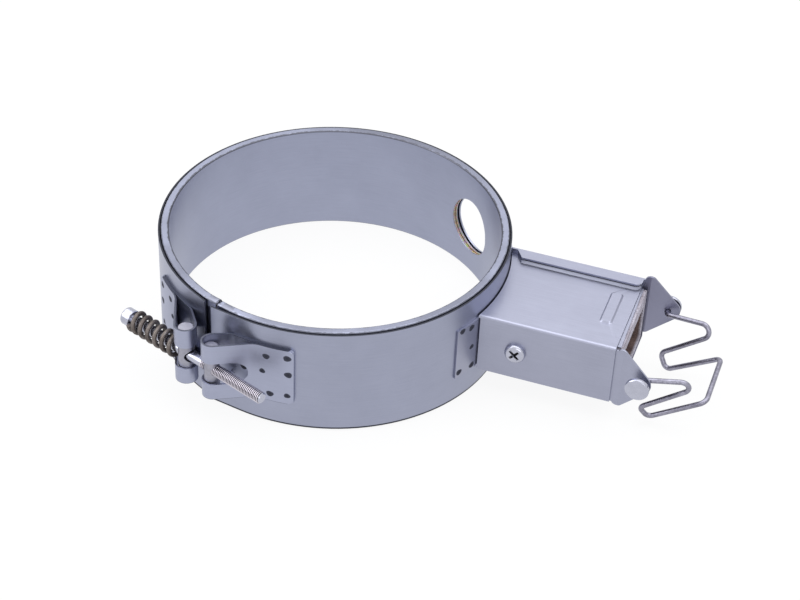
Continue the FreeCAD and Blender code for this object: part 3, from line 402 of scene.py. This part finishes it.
def sheet_materials():
    """Rolled sheets. Each has a colour, the darker shade of its clouds, and its roughness."""
    round_grain = (70.0, 1.0, 2600.0)
    box_grain = (70.0, 2400.0, 2400.0)
    # painted shade: a dark band along the foot of the sheath and of the band; the band's top edge and the straps'
    # edges are sheared edges
    sheath_foot_shade = ((RIM_LOW.z + 0.45 * MM, -1, 0.16),)
    band_edges_and_foot_shade = (
        (BAND_HIGH.z - EDGE_DEPTH, 1, 0.14),
        (BAND_LOW.z + 0.9 * MM, -1, 0.16),
    )
    strap_edges = (
        (STRAP_BOX[1].z - EDGE_DEPTH, 1, 0.30),
        (STRAP_BOX[0].z + EDGE_DEPTH, -1, 0.3),
    )
    # rim marks: painted shade along the rim's outer edge, dirt along its inner edge and in dull patches
    rim_marks = ((rim_shade_and_dirt, (0.062, 0.062, 0.072, 1)),)
    # painted shade on the far ear's inner face
    far_ear_shade_marks = ((far_ear_painted_shade, (0.205, 0.205, 0.290, 1)),)
    # darker copy of the sheath's steel: painted shade on the rolled ends and on the packing strip's lit slope
    rolled = (0.31, 0.325, 0.41, 1)
    rolled_shade = (0.20, 0.205, 0.255, 1)
    sheets = {
        "sheath_steel": ((0.362, 0.384, 0.500, 1), (0.308, 0.328, 0.430, 1), 0.36,
                         round_grain, True, 0.2, sheath_foot_shade, rim_marks),
        "shaded_rolled_steel": (rolled, rolled_shade, 0.45, box_grain),
        "band_steel": ((0.352, 0.370, 0.475, 1), (0.300, 0.318, 0.412, 1), 0.34,
                       round_grain, True, 0.3, band_edges_and_foot_shade),
        "strap_steel": ((0.385, 0.405, 0.525, 1), (0.330, 0.350, 0.455, 1), 0.40,
                        round_grain, True, 0.35, strap_edges),
        "box_steel": ((0.372, 0.385, 0.485, 1), (0.315, 0.327, 0.415, 1), 0.36,
                      box_grain, False, 0.3, (), far_ear_shade_marks),
        "shaded_packing_steel": (rolled, rolled_shade, 0.5, box_grain),
    }
    return {name: sheet_steel(name, *values) for name, values in sheets.items()}


def metal_materials():
    """Machined, plated and drawn metal: colour, shade, roughness, then size and depth of the mottle."""
    metals = {
        "barrel_steel": ((0.37, 0.37, 0.435, 1), (0.285, 0.283, 0.330, 1), 0.42, 700.0),
        "bright_zinc": ((0.50, 0.51, 0.60, 1), (0.43, 0.44, 0.52, 1), 0.26, 260.0, 0.06),
        "wire_steel": ((0.33, 0.325, 0.40, 1), (0.19, 0.185, 0.235, 1), 0.33, 800.0, 0.2),
        "contact_nickel": ((0.52, 0.47, 0.38, 1), (0.36, 0.31, 0.24, 1), 0.3),
        "resistance_ribbon": ((0.22, 0.20, 0.19, 1), (0.12, 0.11, 0.10, 1), 0.45),
        # painted shade for the thread's roots and the socket, and a brighter copy of the plating as painted
        # highlight on the crests
        "thread_root": ((0.045, 0.040, 0.046, 1), (0.022, 0.020, 0.024, 1), 0.5, 900.0, 0.1, 0.3),
        "lit_thread_crest": ((0.66, 0.63, 0.70, 1), (0.56, 0.53, 0.60, 1), 0.24, 400.0, 0.02),
        # painted shade for the holes and grooves of the rolled ends
        "dark_mouth": ((0.030, 0.027, 0.030, 1), (0.012, 0.011, 0.012, 1), 0.7, 900.0, 0.3, 0.2),
    }
    return {name: turned_steel(name, *values) for name, values in metals.items()}


def make_materials():
    """All materials by name; the CAD nodes pick theirs by the record's slot names."""
    made = sheet_materials()
    made.update(metal_materials())
    # the near-black colour is painted shade in the cross recess
    made["cross_head"] = recessed("cross_head", (0.36, 0.36, 0.41, 1), (0.025, 0.024, 0.028, 1), 0.56)
    made["spring_steel"] = spring_wire()
    made["ceramic"] = ceramic()
    made["mica"] = mica()
    made["weld_spot"] = weld_spot()
    return made


# ---------------------------------------------------------------- mesh helpers
def finish_piece(bm, name, material, body, smooth=50):
    """Turn a bmesh into a piece: shading, material, slot and the body it rides on."""
    bmesh.ops.recalc_face_normals(bm, faces=bm.faces)
    mesh = bpy.data.meshes.new(name)
    bm.to_mesh(mesh)
    bm.free()
    piece = bpy.data.objects.new(name, mesh)
    bpy.context.scene.collection.objects.link(piece)
    mesh.materials.append(material)
    for face in mesh.polygons:
        face.use_smooth = True
    mesh.set_sharp_from_angle(angle=math.radians(smooth))
    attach(piece, body)
    return piece


def ring_surface(bm, rings):
    """Skin over a list of rings with equal counts of points, closed at both ends."""
    rows = [[bm.verts.new(point) for point in ring] for ring in rings]
    count = len(rows[0])
    for low, high in zip(rows, rows[1:]):
        for i in range(count):
            j = (i + 1) % count
            bm.faces.new((low[i], low[j], high[j], high[i]))
    bm.faces.new(rows[0])
    bm.faces.new(rows[-1])


def on_screw(t, radius, angle):
    """Point round the screw's axis: t along it, angle from the clamp's outward side."""
    side = SCREW_DIR.cross(CLAMP_OUT)
    return SCREW_MID + SCREW_DIR * t + (CLAMP_OUT * math.cos(angle) + side * math.sin(angle)) * radius


# ---------------------------------------------------------------- clamp screw and spring
def screw_head(bm, head_t):
    """Cap head with a light knurl and a hexagon socket; the outline runs from under the head outwards."""
    count = KNURL_COUNT * 4
    outline = [
        (0.0, HEAD_R - HEAD_EDGE * 0.4, 0),
        (HEAD_EDGE * 0.4, HEAD_R, 1),
        (HEAD_L * 0.4, HEAD_R, 1),
        (HEAD_L - HEAD_EDGE * 1.6, HEAD_R, 1),
        (HEAD_L - HEAD_EDGE, HEAD_R, 0),
        (HEAD_L - HEAD_EDGE * 0.3, HEAD_R - HEAD_EDGE * 0.3, 0),
        (HEAD_L, HEAD_R - HEAD_EDGE, 0),
    ]
    rings = []
    for back, radius, knurled in outline:
        ring = []
        for i in range(count):
            angle = 2 * math.pi * i / count
            dip = KNURL_DEPTH * (0.5 - 0.5 * math.cos(KNURL_COUNT * angle)) * knurled
            ring.append(on_screw(head_t - back, radius - dip, angle))
        rings.append(ring)

    def hexagon(i, radius):
        angle = 2 * math.pi * i / count
        from_flat = (angle + math.pi / 6) % (math.pi / 3) - math.pi / 6
        return angle, radius * math.cos(math.pi / 6) / math.cos(from_flat)

    socket = (
        (0.0, HEX_R * 1.12),
        (HEX_EDGE, HEX_R),
        (HEX_DEPTH, HEX_R),
        (HEX_DEPTH + HEX_CONE, HEX_CONE_R),
    )
    for depth, radius in socket:
        ring = []
        for i in range(count):
            angle, reach = hexagon(i, radius)
            ring.append(on_screw(head_t - HEAD_L + depth, reach, angle))
        rings.append(ring)
    ring_surface(bm, rings)


def threaded_shank(bm, head_t, tip_t):
    """Plain shank that turns into a right-handed thread of flat-topped ridges."""
    columns = 40
    rows_per_pitch = 10
    rings = []
    for t in (head_t - HEAD_OVERLAP, THREAD_START - RUN_OUT):
        rings.append([on_screw(t, SHANK_R, 2 * math.pi * i / columns) for i in range(columns)])
    rows = int((tip_t - THREAD_START) / THREAD_PITCH * rows_per_pitch)
    for row in range(rows + 1):
        t = THREAD_START + (tip_t - THREAD_START) * row / rows
        run_in = min(1.0, (t - THREAD_START) / (1.5 * THREAD_PITCH) + 0.15)
        limit = THREAD_R - max(0.0, TIP_EDGE - (tip_t - t))
        ring = []
        for i in range(columns):
            angle = 2 * math.pi * i / columns
            phase = (t / THREAD_PITCH - angle / (2 * math.pi)) % 1.0
            ridge = min(1.0, max(0.0, 1.35 - abs(phase - 0.5) * 3.4))
            radius = SHANK_R + (THREAD_R - SHANK_R - (1 - ridge) * THREAD_DEPTH) * run_in
            ring.append(on_screw(t, min(radius, limit), angle))
        rings.append(ring)
    ring_surface(bm, rings)


def clamp_screw(materials):
    """Screw with painted shade in the thread roots and socket, a painted highlight on the thread's crests, and a
    plain head, shank and tip.
    """
    bm = bmesh.new()
    head_t = along_screw("clamp_screw", min) + HEAD_L
    tip_t = along_screw("clamp_screw", max)
    screw_head(bm, head_t)
    threaded_shank(bm, head_t, tip_t)
    piece = finish_piece(bm, "screw_with_thread", materials["lit_thread_crest"], "screw", 32)
    piece.data.materials.append(materials["thread_root"])
    piece.data.materials.append(materials["bright_zinc"])
    for face in piece.data.polygons:
        offset = face.center - SCREW_MID
        t = offset.dot(SCREW_DIR)
        reach = (offset - SCREW_DIR * t).length
        # roots and socket get painted shade, the crests the painted highlight
        is_root = THREAD_START < t < tip_t - TIP_EDGE and reach < THREAD_R - THREAD_DEPTH * 0.5
        is_socket = t < head_t - HEAD_L + HEX_DEPTH and reach < HEX_R * 0.95
        if is_root or is_socket:
            face.material_index = 1
        elif t < THREAD_START or t > tip_t - TIP_EDGE:
            face.material_index = 2
    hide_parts("clamp_screw")


def clamp_spring(materials):
    """Wound spring: closed coils at both ends and open ones between."""
    start = along_screw("clamp_spring", min)
    end = along_screw("clamp_spring", max)
    closed_pitch = WIRE_R * CLOSED_PITCH_SHARE
    turns = 2 * DEAD_TURNS + OPEN_TURNS
    pitch = (end - start - 2 * WIRE_R - 2 * DEAD_TURNS * closed_pitch) / OPEN_TURNS
    steps = int(turns * 40)
    line = []
    for i in range(steps + 1):
        turn = turns * i / steps
        open_turns = min(max(turn - DEAD_TURNS, 0.0), OPEN_TURNS)
        t = start + WIRE_R + (turn - open_turns) * closed_pitch + open_turns * pitch
        line.append(on_screw(t, COIL_R, 2 * math.pi * turn))
    rings = []
    sides = 18
    for i, point in enumerate(line):
        heading = (line[min(i + 1, steps)] - line[max(i - 1, 0)]).normalized()
        centre = SCREW_MID + SCREW_DIR * (point - SCREW_MID).dot(SCREW_DIR)
        outward = (point - centre).normalized()
        outward = (outward - heading * outward.dot(heading)).normalized()
        across = heading.cross(outward)
        ring = []
        for k in range(sides):
            angle = 2 * math.pi * k / sides
            ring.append(point + (outward * math.cos(angle) + across * math.sin(angle)) * WIRE_R)
        rings.append(ring)
    bm = bmesh.new()
    ring_surface(bm, rings)
    piece = finish_piece(bm, "spring_coils", materials["spring_steel"], "spring", 50)
    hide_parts("clamp_spring")
    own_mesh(piece)


# ---------------------------------------------------------------- cover screw, rolled ends and strips
def cover_screw(materials):
    """Pan head with a cross recess: rings of points whose height dips inside the cross."""
    low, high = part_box("cover_screw")
    centre = Vector(((low.x + high.x) / 2, low.y + PAN_H, (low.z + high.z) / 2))
    turn = Matrix.Rotation(math.radians(PAN_TURN), 3, "Y")
    bm = bmesh.new()
    uv = bm.loops.layers.uv.new("face")
    sides = 96
    rings = 26
    reaches = [PAN_R * step / rings for step in range(1, rings + 1)]
    where = {}

    def vert(reach, angle, height):
        u, v = math.cos(angle) * reach, math.sin(angle) * reach
        point = bm.verts.new(centre + turn @ Vector((u, -height, v)))
        where[point] = (u / PAN_R, v / PAN_R)
        return point

    def height(reach, angle):
        if reach < PAN_R * 0.999:
            crown = PAN_H * (1 - (reach / PAN_R) ** 4 * 0.55)
        else:
            crown = PAN_H * PAN_EDGE
        u, v = abs(math.cos(angle) * reach), abs(math.sin(angle) * reach)
        wall = min((CROSS_ARM - min(u, v)) / (0.14 * MM), (CROSS_REACH - max(u, v)) / (0.5 * MM))
        return crown - CROSS_DEPTH * min(1.0, max(0.0, wall))

    angles = [2 * math.pi * k / sides for k in range(sides)]
    rows = [[vert(reach, angle, height(reach, angle)) for angle in angles] for reach in reaches]
    rows.append([vert(PAN_R, angle, 0.0) for angle in angles])
    middle = vert(0.0, 0.0, PAN_H - CROSS_DEPTH)
    faces = [bm.faces.new((middle, rows[0][k], rows[0][(k + 1) % sides])) for k in range(sides)]
    for inner, outer in zip(rows, rows[1:]):
        for k in range(sides):
            j = (k + 1) % sides
            faces.append(bm.faces.new((inner[k], outer[k], outer[j], inner[j])))
    faces.append(bm.faces.new(rows[-1]))
    for face in faces:
        for loop in face.loops:
            loop[uv].uv = where[loop.vert]
    finish_piece(bm, "cover_screw_head", materials["cross_head"], "heater", 40)


def rim_point(azimuth, radial, height):
    """Point on the sheath's rim: degrees round the bore, then off the roll's middle and the rim's top."""
    a = math.radians(azimuth)
    reach = CURL_MID + radial
    return Vector((math.cos(a) * reach, math.sin(a) * reach, RIM_HIGH.z + height))


def rolled_end(name, end_az, way, half, tall, rise, mouth, materials):
    """Rolled end of the sheath's rim at the split: a tube whose mouth is painted shade, cut at a slant.

    way is 1 when the tube's end faces growing azimuth and -1 otherwise. half and tall are its half sizes
    across and up, rise is how far it stands above the rim, and mouth is the hole's share of the tube.
    A groove of painted shade round the hole stands for the gap between the roll's layers.
    """
    sides = 28

    def ring(azimuth, share_wide, share_tall, slant):
        points = []
        for k in range(sides):
            angle = 2 * math.pi * k / sides
            radial = math.copysign(abs(math.cos(angle)) ** 0.85, math.cos(angle)) * half * share_wide
            height = math.sin(angle) * tall * share_tall
            back = slant * (height / tall + 0.4 * radial / half)
            points.append(rim_point(azimuth - way * back, radial, height + rise - tall))
        return points

    # how far back in degrees, share of the width, share of the height, slant
    sections = (
        (CURL_DEGREES, 0.92, 0.5, 0.0),
        (CURL_DEGREES * 0.5, 0.97, 0.75, 0.0),
        (0.25, 1.0, 1.0, CURL_SLANT),
        (0.0, 0.93, 0.93, CURL_SLANT),
        (0.25, mouth + 0.22, mouth + 0.22, CURL_SLANT),
        (0.05, mouth + 0.12, mouth + 0.12, CURL_SLANT),
        (0.05, mouth, mouth, CURL_SLANT),
        (1.2, mouth * 0.8, mouth * 0.8, CURL_SLANT),
    )
    rings = [ring(end_az - way * back, wide, high, slant) for back, wide, high, slant in sections]
    bm = bmesh.new()
    ring_surface(bm, rings)
    # painted shade: the roll is a darker copy of the sheath's steel
    piece = finish_piece(bm, name, materials["shaded_rolled_steel"], "heater", 35)
    piece.data.materials.append(materials["dark_mouth"])
    groove, hole = 3, 6
    for face in piece.data.polygons:
        section = min(face.vertices) // sides
        if section == groove or section >= hole:
            face.material_index = 1


def rolled_ends(materials):
    """A full roll with an open mouth on the spring's side, and a flattened one on the nut's side."""
    seam = CLAMP_AZ + SPLIT_FROM_CLAMP
    rolled_end("rim_end_spring_side", seam + 0.25, 1, 1.55 * MM, 1.0 * MM, 1.15 * MM, 0.42, materials)
    rolled_end("rim_end_nut_side", seam + 1.7, -1, 1.45 * MM, 0.6 * MM, 0.35 * MM, 0.5, materials)


def socket_frame(materials):
    """Sheet strip between the cover's end and the ceramic; it tapers towards the far side."""
    near_y, far_y = SOCKET_LOW.y + 0.4 * MM, SOCKET_HIGH.y - 1.2 * MM
    start = COVER_HIGH.x + 0.12 * MM
    top = SOCKET_HIGH.z + FRAME_RISE
    bottom = SOCKET_HIGH.z + 0.03 * MM
    steps = 24
    rings = []
    for i in range(steps + 1):
        share = i / steps
        y = near_y + (far_y - near_y) * share
        wide = FRAME_WIDE - FRAME_TAPER * share + FRAME_WAVE * math.sin(share * 21)
        rings.append([
            Vector((start, y, bottom)),
            Vector((start, y, top)),
            Vector((start + wide - FRAME_EDGE, y, top)),
            Vector((start + wide, y, top - FRAME_EDGE)),
            Vector((start + wide, y, bottom)),
        ])
    bm = bmesh.new()
    ring_surface(bm, rings)
    finish_piece(bm, "socket_frame", materials["box_steel"], "heater", 35)


def lip_packing(materials):
    """Strip that lies on the cover under the channel's lip and leaves only a narrow gap below it.

    Its front edge follows the lip's: slanted at the band's end, rounded at the outer end. The photo
    does not show it: it narrows the shadow below the CAD's lip, which stands too high.
    """
    top = COVER_HIGH.z + PACKING_TOP
    foot = COVER_HIGH.z - PACKING_FOOT
    lip_in = COVER_HIGH.y + FAR_WALL_PAST_COVER - LIP_WIDTH
    back = COVER_HIGH.y + 0.05 * MM
    start = BAND_R - 0.1 * MM
    end = COVER_HIGH.x - 0.35 * MM
    steps = 60
    rings = []
    for i in range(steps + 1):
        x = start + (end - start) * i / steps
        slant = max(0.0, LIP_SLANT_DEPTH - (x - start) * LIP_SLANT_SLOPE)
        into = max(0.0, x - (COVER_HIGH.x - LIP_CORNER))
        corner = LIP_CORNER - math.sqrt(max(LIP_CORNER ** 2 - into ** 2, 0))
        front = lip_in + max(slant, corner)
        rings.append([
            Vector((x, front - 0.75 * MM, foot)),
            Vector((x, front + 0.35 * MM, top)),
            Vector((x, back, top)),
            Vector((x, back, foot)),
        ])
    bm = bmesh.new()
    ring_surface(bm, rings)
    # painted shade: the strip is a darker copy of the box's steel
    finish_piece(bm, "lip_packing", materials["shaded_packing_steel"], "heater", 25)


# ---------------------------------------------------------------- spot welds
def weld_spots(name, places, radius, materials):
    """Shallow uneven disc on the sheet at each weld; places are (direction in degrees, height in mm).

    profile lists (share of the disc's radius, share of its rise), from the middle outwards.
    """
    bm = bmesh.new()
    uv = bm.loops.layers.uv.new("spot")
    profile = ((0.0, 0.35), (0.35, 0.45), (0.62, 0.9), (0.82, 1.0), (1.0, 0.1))
    sides = 20
    for number, (azimuth, height) in enumerate(places):
        a = math.radians(azimuth)
        out = Vector((math.cos(a), math.sin(a), 0))
        along = Vector((-math.sin(a), math.cos(a), 0))
        size = SPOT_R * (1.0 + 0.12 * math.sin(number * 2.3))
        rows = []
        where = {}
        for reach, rise in profile:
            row = []
            for k in range(1 if reach == 0 else sides):
                angle = 2 * math.pi * k / sides
                ragged = 1.0 + 0.07 * math.sin(3 * angle + number * 1.7) * reach
                dx = math.cos(angle) * reach * size * ragged * SPOT_WIDE
                dz = math.sin(angle) * reach * size * ragged * SPOT_HIGH
                bend = math.sqrt(max(radius * radius - dx * dx, 0)) + SPOT_RISE * rise
                vert = bm.verts.new(out * bend + along * dx + UP * (height * MM + dz))
                where[vert] = (math.cos(angle) * reach, math.sin(angle) * reach)
                row.append(vert)
            rows.append(row)
        faces = []
        for k in range(sides):
            faces.append(bm.faces.new((rows[0][0], rows[1][k], rows[1][(k + 1) % sides])))
        for low, high in zip(rows[1:], rows[2:]):
            for k in range(sides):
                j = (k + 1) % sides
                faces.append(bm.faces.new((low[k], high[k], high[j], low[j])))
        for face in faces:
            for loop in face.loops:
                loop[uv].uv = where[loop.vert]
    finish_piece(bm, name, materials["weld_spot"], "heater", 60)


def all_weld_spots(materials):
    """Welds of the straps' outer plates, of the sheet seen in the window, and of the box's two tabs."""
    plate = ((20.7, 35.8), (27.4, 36.9), (19.4, 27.8), (27.7, 28.5), (21.9, 16.8), (27.4, 17.5))
    window = ((12.8, 26.1),)
    tab = ((25.9, 36.6), (21.7, 35.5), (21.0, 25.0), (20.4, 14.8), (26.4, 15.4))
    one_sheet = BAND_R + STRAP_SHEET
    two_sheets = BAND_R + 2 * STRAP_SHEET
    groups = (
        ("welds_nut_strap", CLAMP_AZ, 1, plate, two_sheets),
        ("welds_spring_strap", CLAMP_AZ, -1, plate, two_sheets),
        ("welds_nut_slot", CLAMP_AZ, 1, window, one_sheet),
        ("welds_near_tab", 0, -1, tab, one_sheet),
        ("welds_far_tab", 0, 1, tab, one_sheet),
    )
    for name, middle, way, places, radius in groups:
        weld_spots(name, [(middle + way * a, z) for a, z in places], radius, materials)


# ---------------------------------------------------------------- carried-over CAD nodes
def dress_nodes(materials):
    """Give each CAD node its material and, unless it is replaced or rough, softly broken edges."""
    by_node = {part["node"]: part["material_slot"] for part in frame["record"]["subparts"]}
    for name, node in NODES.items():
        for slot in node.material_slots:
            slot.material = materials[by_node[name]]
        if name in NOT_BEVELLED:
            continue
        weld = node.modifiers.new("weld", "WELD")
        weld.merge_threshold = WELD_MERGE
        bevel = node.modifiers.new("edges", "BEVEL")
        bevel.width = BEVEL
        bevel.segments = 2
        bevel.limit_method = "ANGLE"
        bevel.angle_limit = math.radians(BEVEL_ANGLE)
        bevel.use_clamp_overlap = True
        for face in node.data.polygons:
            face.use_smooth = True
        normals = node.modifiers.new("even_normals", "WEIGHTED_NORMAL")
        normals.weight = 80
        normals.keep_sharp = False


# ---------------------------------------------------------------- studio
FLOOR_HALF = 6.0
FLOOR_GREY = 0.9
FLOOR_GLOW = 0.90
WORLD_LIGHT = (0.55, 0.56, 0.60, 1)
WHITE = (1, 1, 1, 1)
# place and angles of the photo's camera, fitted to the photo
CAMERA_AT = Vector((0.2317, -0.6317, 0.5399))
CAMERA_TURN = 17.7124
CAMERA_DOWN = 38.2263
CAMERA_ROLL = 2.7122
CAMERA_LENS = 88.80


def seen_directly(tree):
    """1 for camera, glossy and transmission rays, 0 for the light that falls on the object."""
    path = tree.nodes.new("ShaderNodeLightPath")
    total = path.outputs["Is Camera Ray"]
    for name in ("Is Glossy Ray", "Is Transmission Ray"):
        add = tree.nodes.new("ShaderNodeMath")
        add.operation = "MAXIMUM"
        tree.links.new(total, add.inputs[0])
        tree.links.new(path.outputs[name], add.inputs[1])
        total = add.outputs[0]
    return total


def make_floor():
    """Pale paper that looks nearly white and keeps a faint shadow."""
    bm = bmesh.new()
    corners = ((-1, -1), (1, -1), (1, 1), (-1, 1))
    bm.faces.new([bm.verts.new((x * FLOOR_HALF, y * FLOOR_HALF, cad_box[0].z)) for x, y in corners])
    mesh = bpy.data.meshes.new("floor")
    bm.to_mesh(mesh)
    bm.free()
    floor = bpy.data.objects.new("floor", mesh)
    bpy.context.scene.collection.objects.link(floor)
    material = bpy.data.materials.new("floor_paper")
    material.use_nodes = True
    tree = material.node_tree
    tree.nodes.remove(tree.nodes["Principled BSDF"])
    diffuse = tree.nodes.new("ShaderNodeBsdfDiffuse")
    diffuse.inputs["Color"].default_value = (FLOOR_GREY, FLOOR_GREY, FLOOR_GREY, 1)
    glow = tree.nodes.new("ShaderNodeEmission")
    glow.inputs["Color"].default_value = WHITE
    share = tree.nodes.new("ShaderNodeMath")
    share.operation = "MULTIPLY"
    share.inputs[1].default_value = FLOOR_GLOW
    tree.links.new(seen_directly(tree), share.inputs[0])
    mix = tree.nodes.new("ShaderNodeMixShader")
    tree.links.new(share.outputs[0], mix.inputs[0])
    tree.links.new(diffuse.outputs[0], mix.inputs[1])
    tree.links.new(glow.outputs[0], mix.inputs[2])
    tree.links.new(mix.outputs[0], tree.nodes["Material Output"].inputs["Surface"])
    mesh.materials.append(material)


def make_world():
    """Soft grey light on the object, with white where the world is seen or mirrored."""
    world = bpy.data.worlds.new("studio")
    bpy.context.scene.world = world
    world.use_nodes = True
    tree = world.node_tree
    background = tree.nodes["Background"]
    mix = tree.nodes.new("ShaderNodeMix")
    mix.data_type = "RGBA"
    mix.inputs[6].default_value = WORLD_LIGHT
    mix.inputs[7].default_value = WHITE
    tree.links.new(seen_directly(tree), mix.inputs[0])
    tree.links.new(mix.outputs[2], background.inputs["Color"])


def soft_light(name, place, target, size, power):
    """Rectangular lamp that faces the target; size in metres, power in watts."""
    light = bpy.data.lights.new(name, "AREA")
    light.shape = "RECTANGLE"
    light.size = size[0]
    light.size_y = size[1]
    light.energy = power
    lamp = bpy.data.objects.new(name, light)
    bpy.context.scene.collection.objects.link(lamp)
    lamp.location = place
    lamp.rotation_euler = (Vector(target) - Vector(place)).to_track_quat("-Z", "Y").to_euler()


def make_camera():
    """Camera at the photo's viewing angle."""
    camera = bpy.data.cameras.new("camera")
    camera.lens = CAMERA_LENS
    camera.sensor_width = 36
    camera.clip_start = 0.01
    camera.clip_end = 30
    view = bpy.data.objects.new("camera", camera)
    bpy.context.scene.collection.objects.link(view)
    turn = Matrix.Rotation(math.radians(CAMERA_TURN), 4, "Z")
    tilt = Matrix.Rotation(math.radians(90 - CAMERA_DOWN), 4, "X")
    roll = Matrix.Rotation(math.radians(CAMERA_ROLL), 4, "Z")
    view.matrix_world = Matrix.Translation(CAMERA_AT) @ turn @ tilt @ roll
    bpy.context.scene.camera = view


def make_studio():
    """Floor, world and three soft lamps; the top one is large, to keep its reflection on the cover dim."""
    make_floor()
    make_world()
    soft_light("top", (0.0, 0.2, 1.3), (0.02, 0, 0.02), (2.6, 1.9), 23.0)
    soft_light("left", (-1.1, -0.7, 0.8), (0, 0, 0.02), (0.9, 0.9), 7.0)
    soft_light("front", (0.6, -1.3, 0.55), (0, 0, 0.02), (1.2, 0.7), 3.5)
    bpy.context.scene.view_settings.view_transform = "Standard"
    make_camera()


def main():
    materials = make_materials()
    dress_nodes(materials)
    clamp_screw(materials)
    clamp_spring(materials)
    cover_screw(materials)
    rolled_ends(materials)
    socket_frame(materials)
    lip_packing(materials)
    all_weld_spots(materials)
    make_studio()


main()
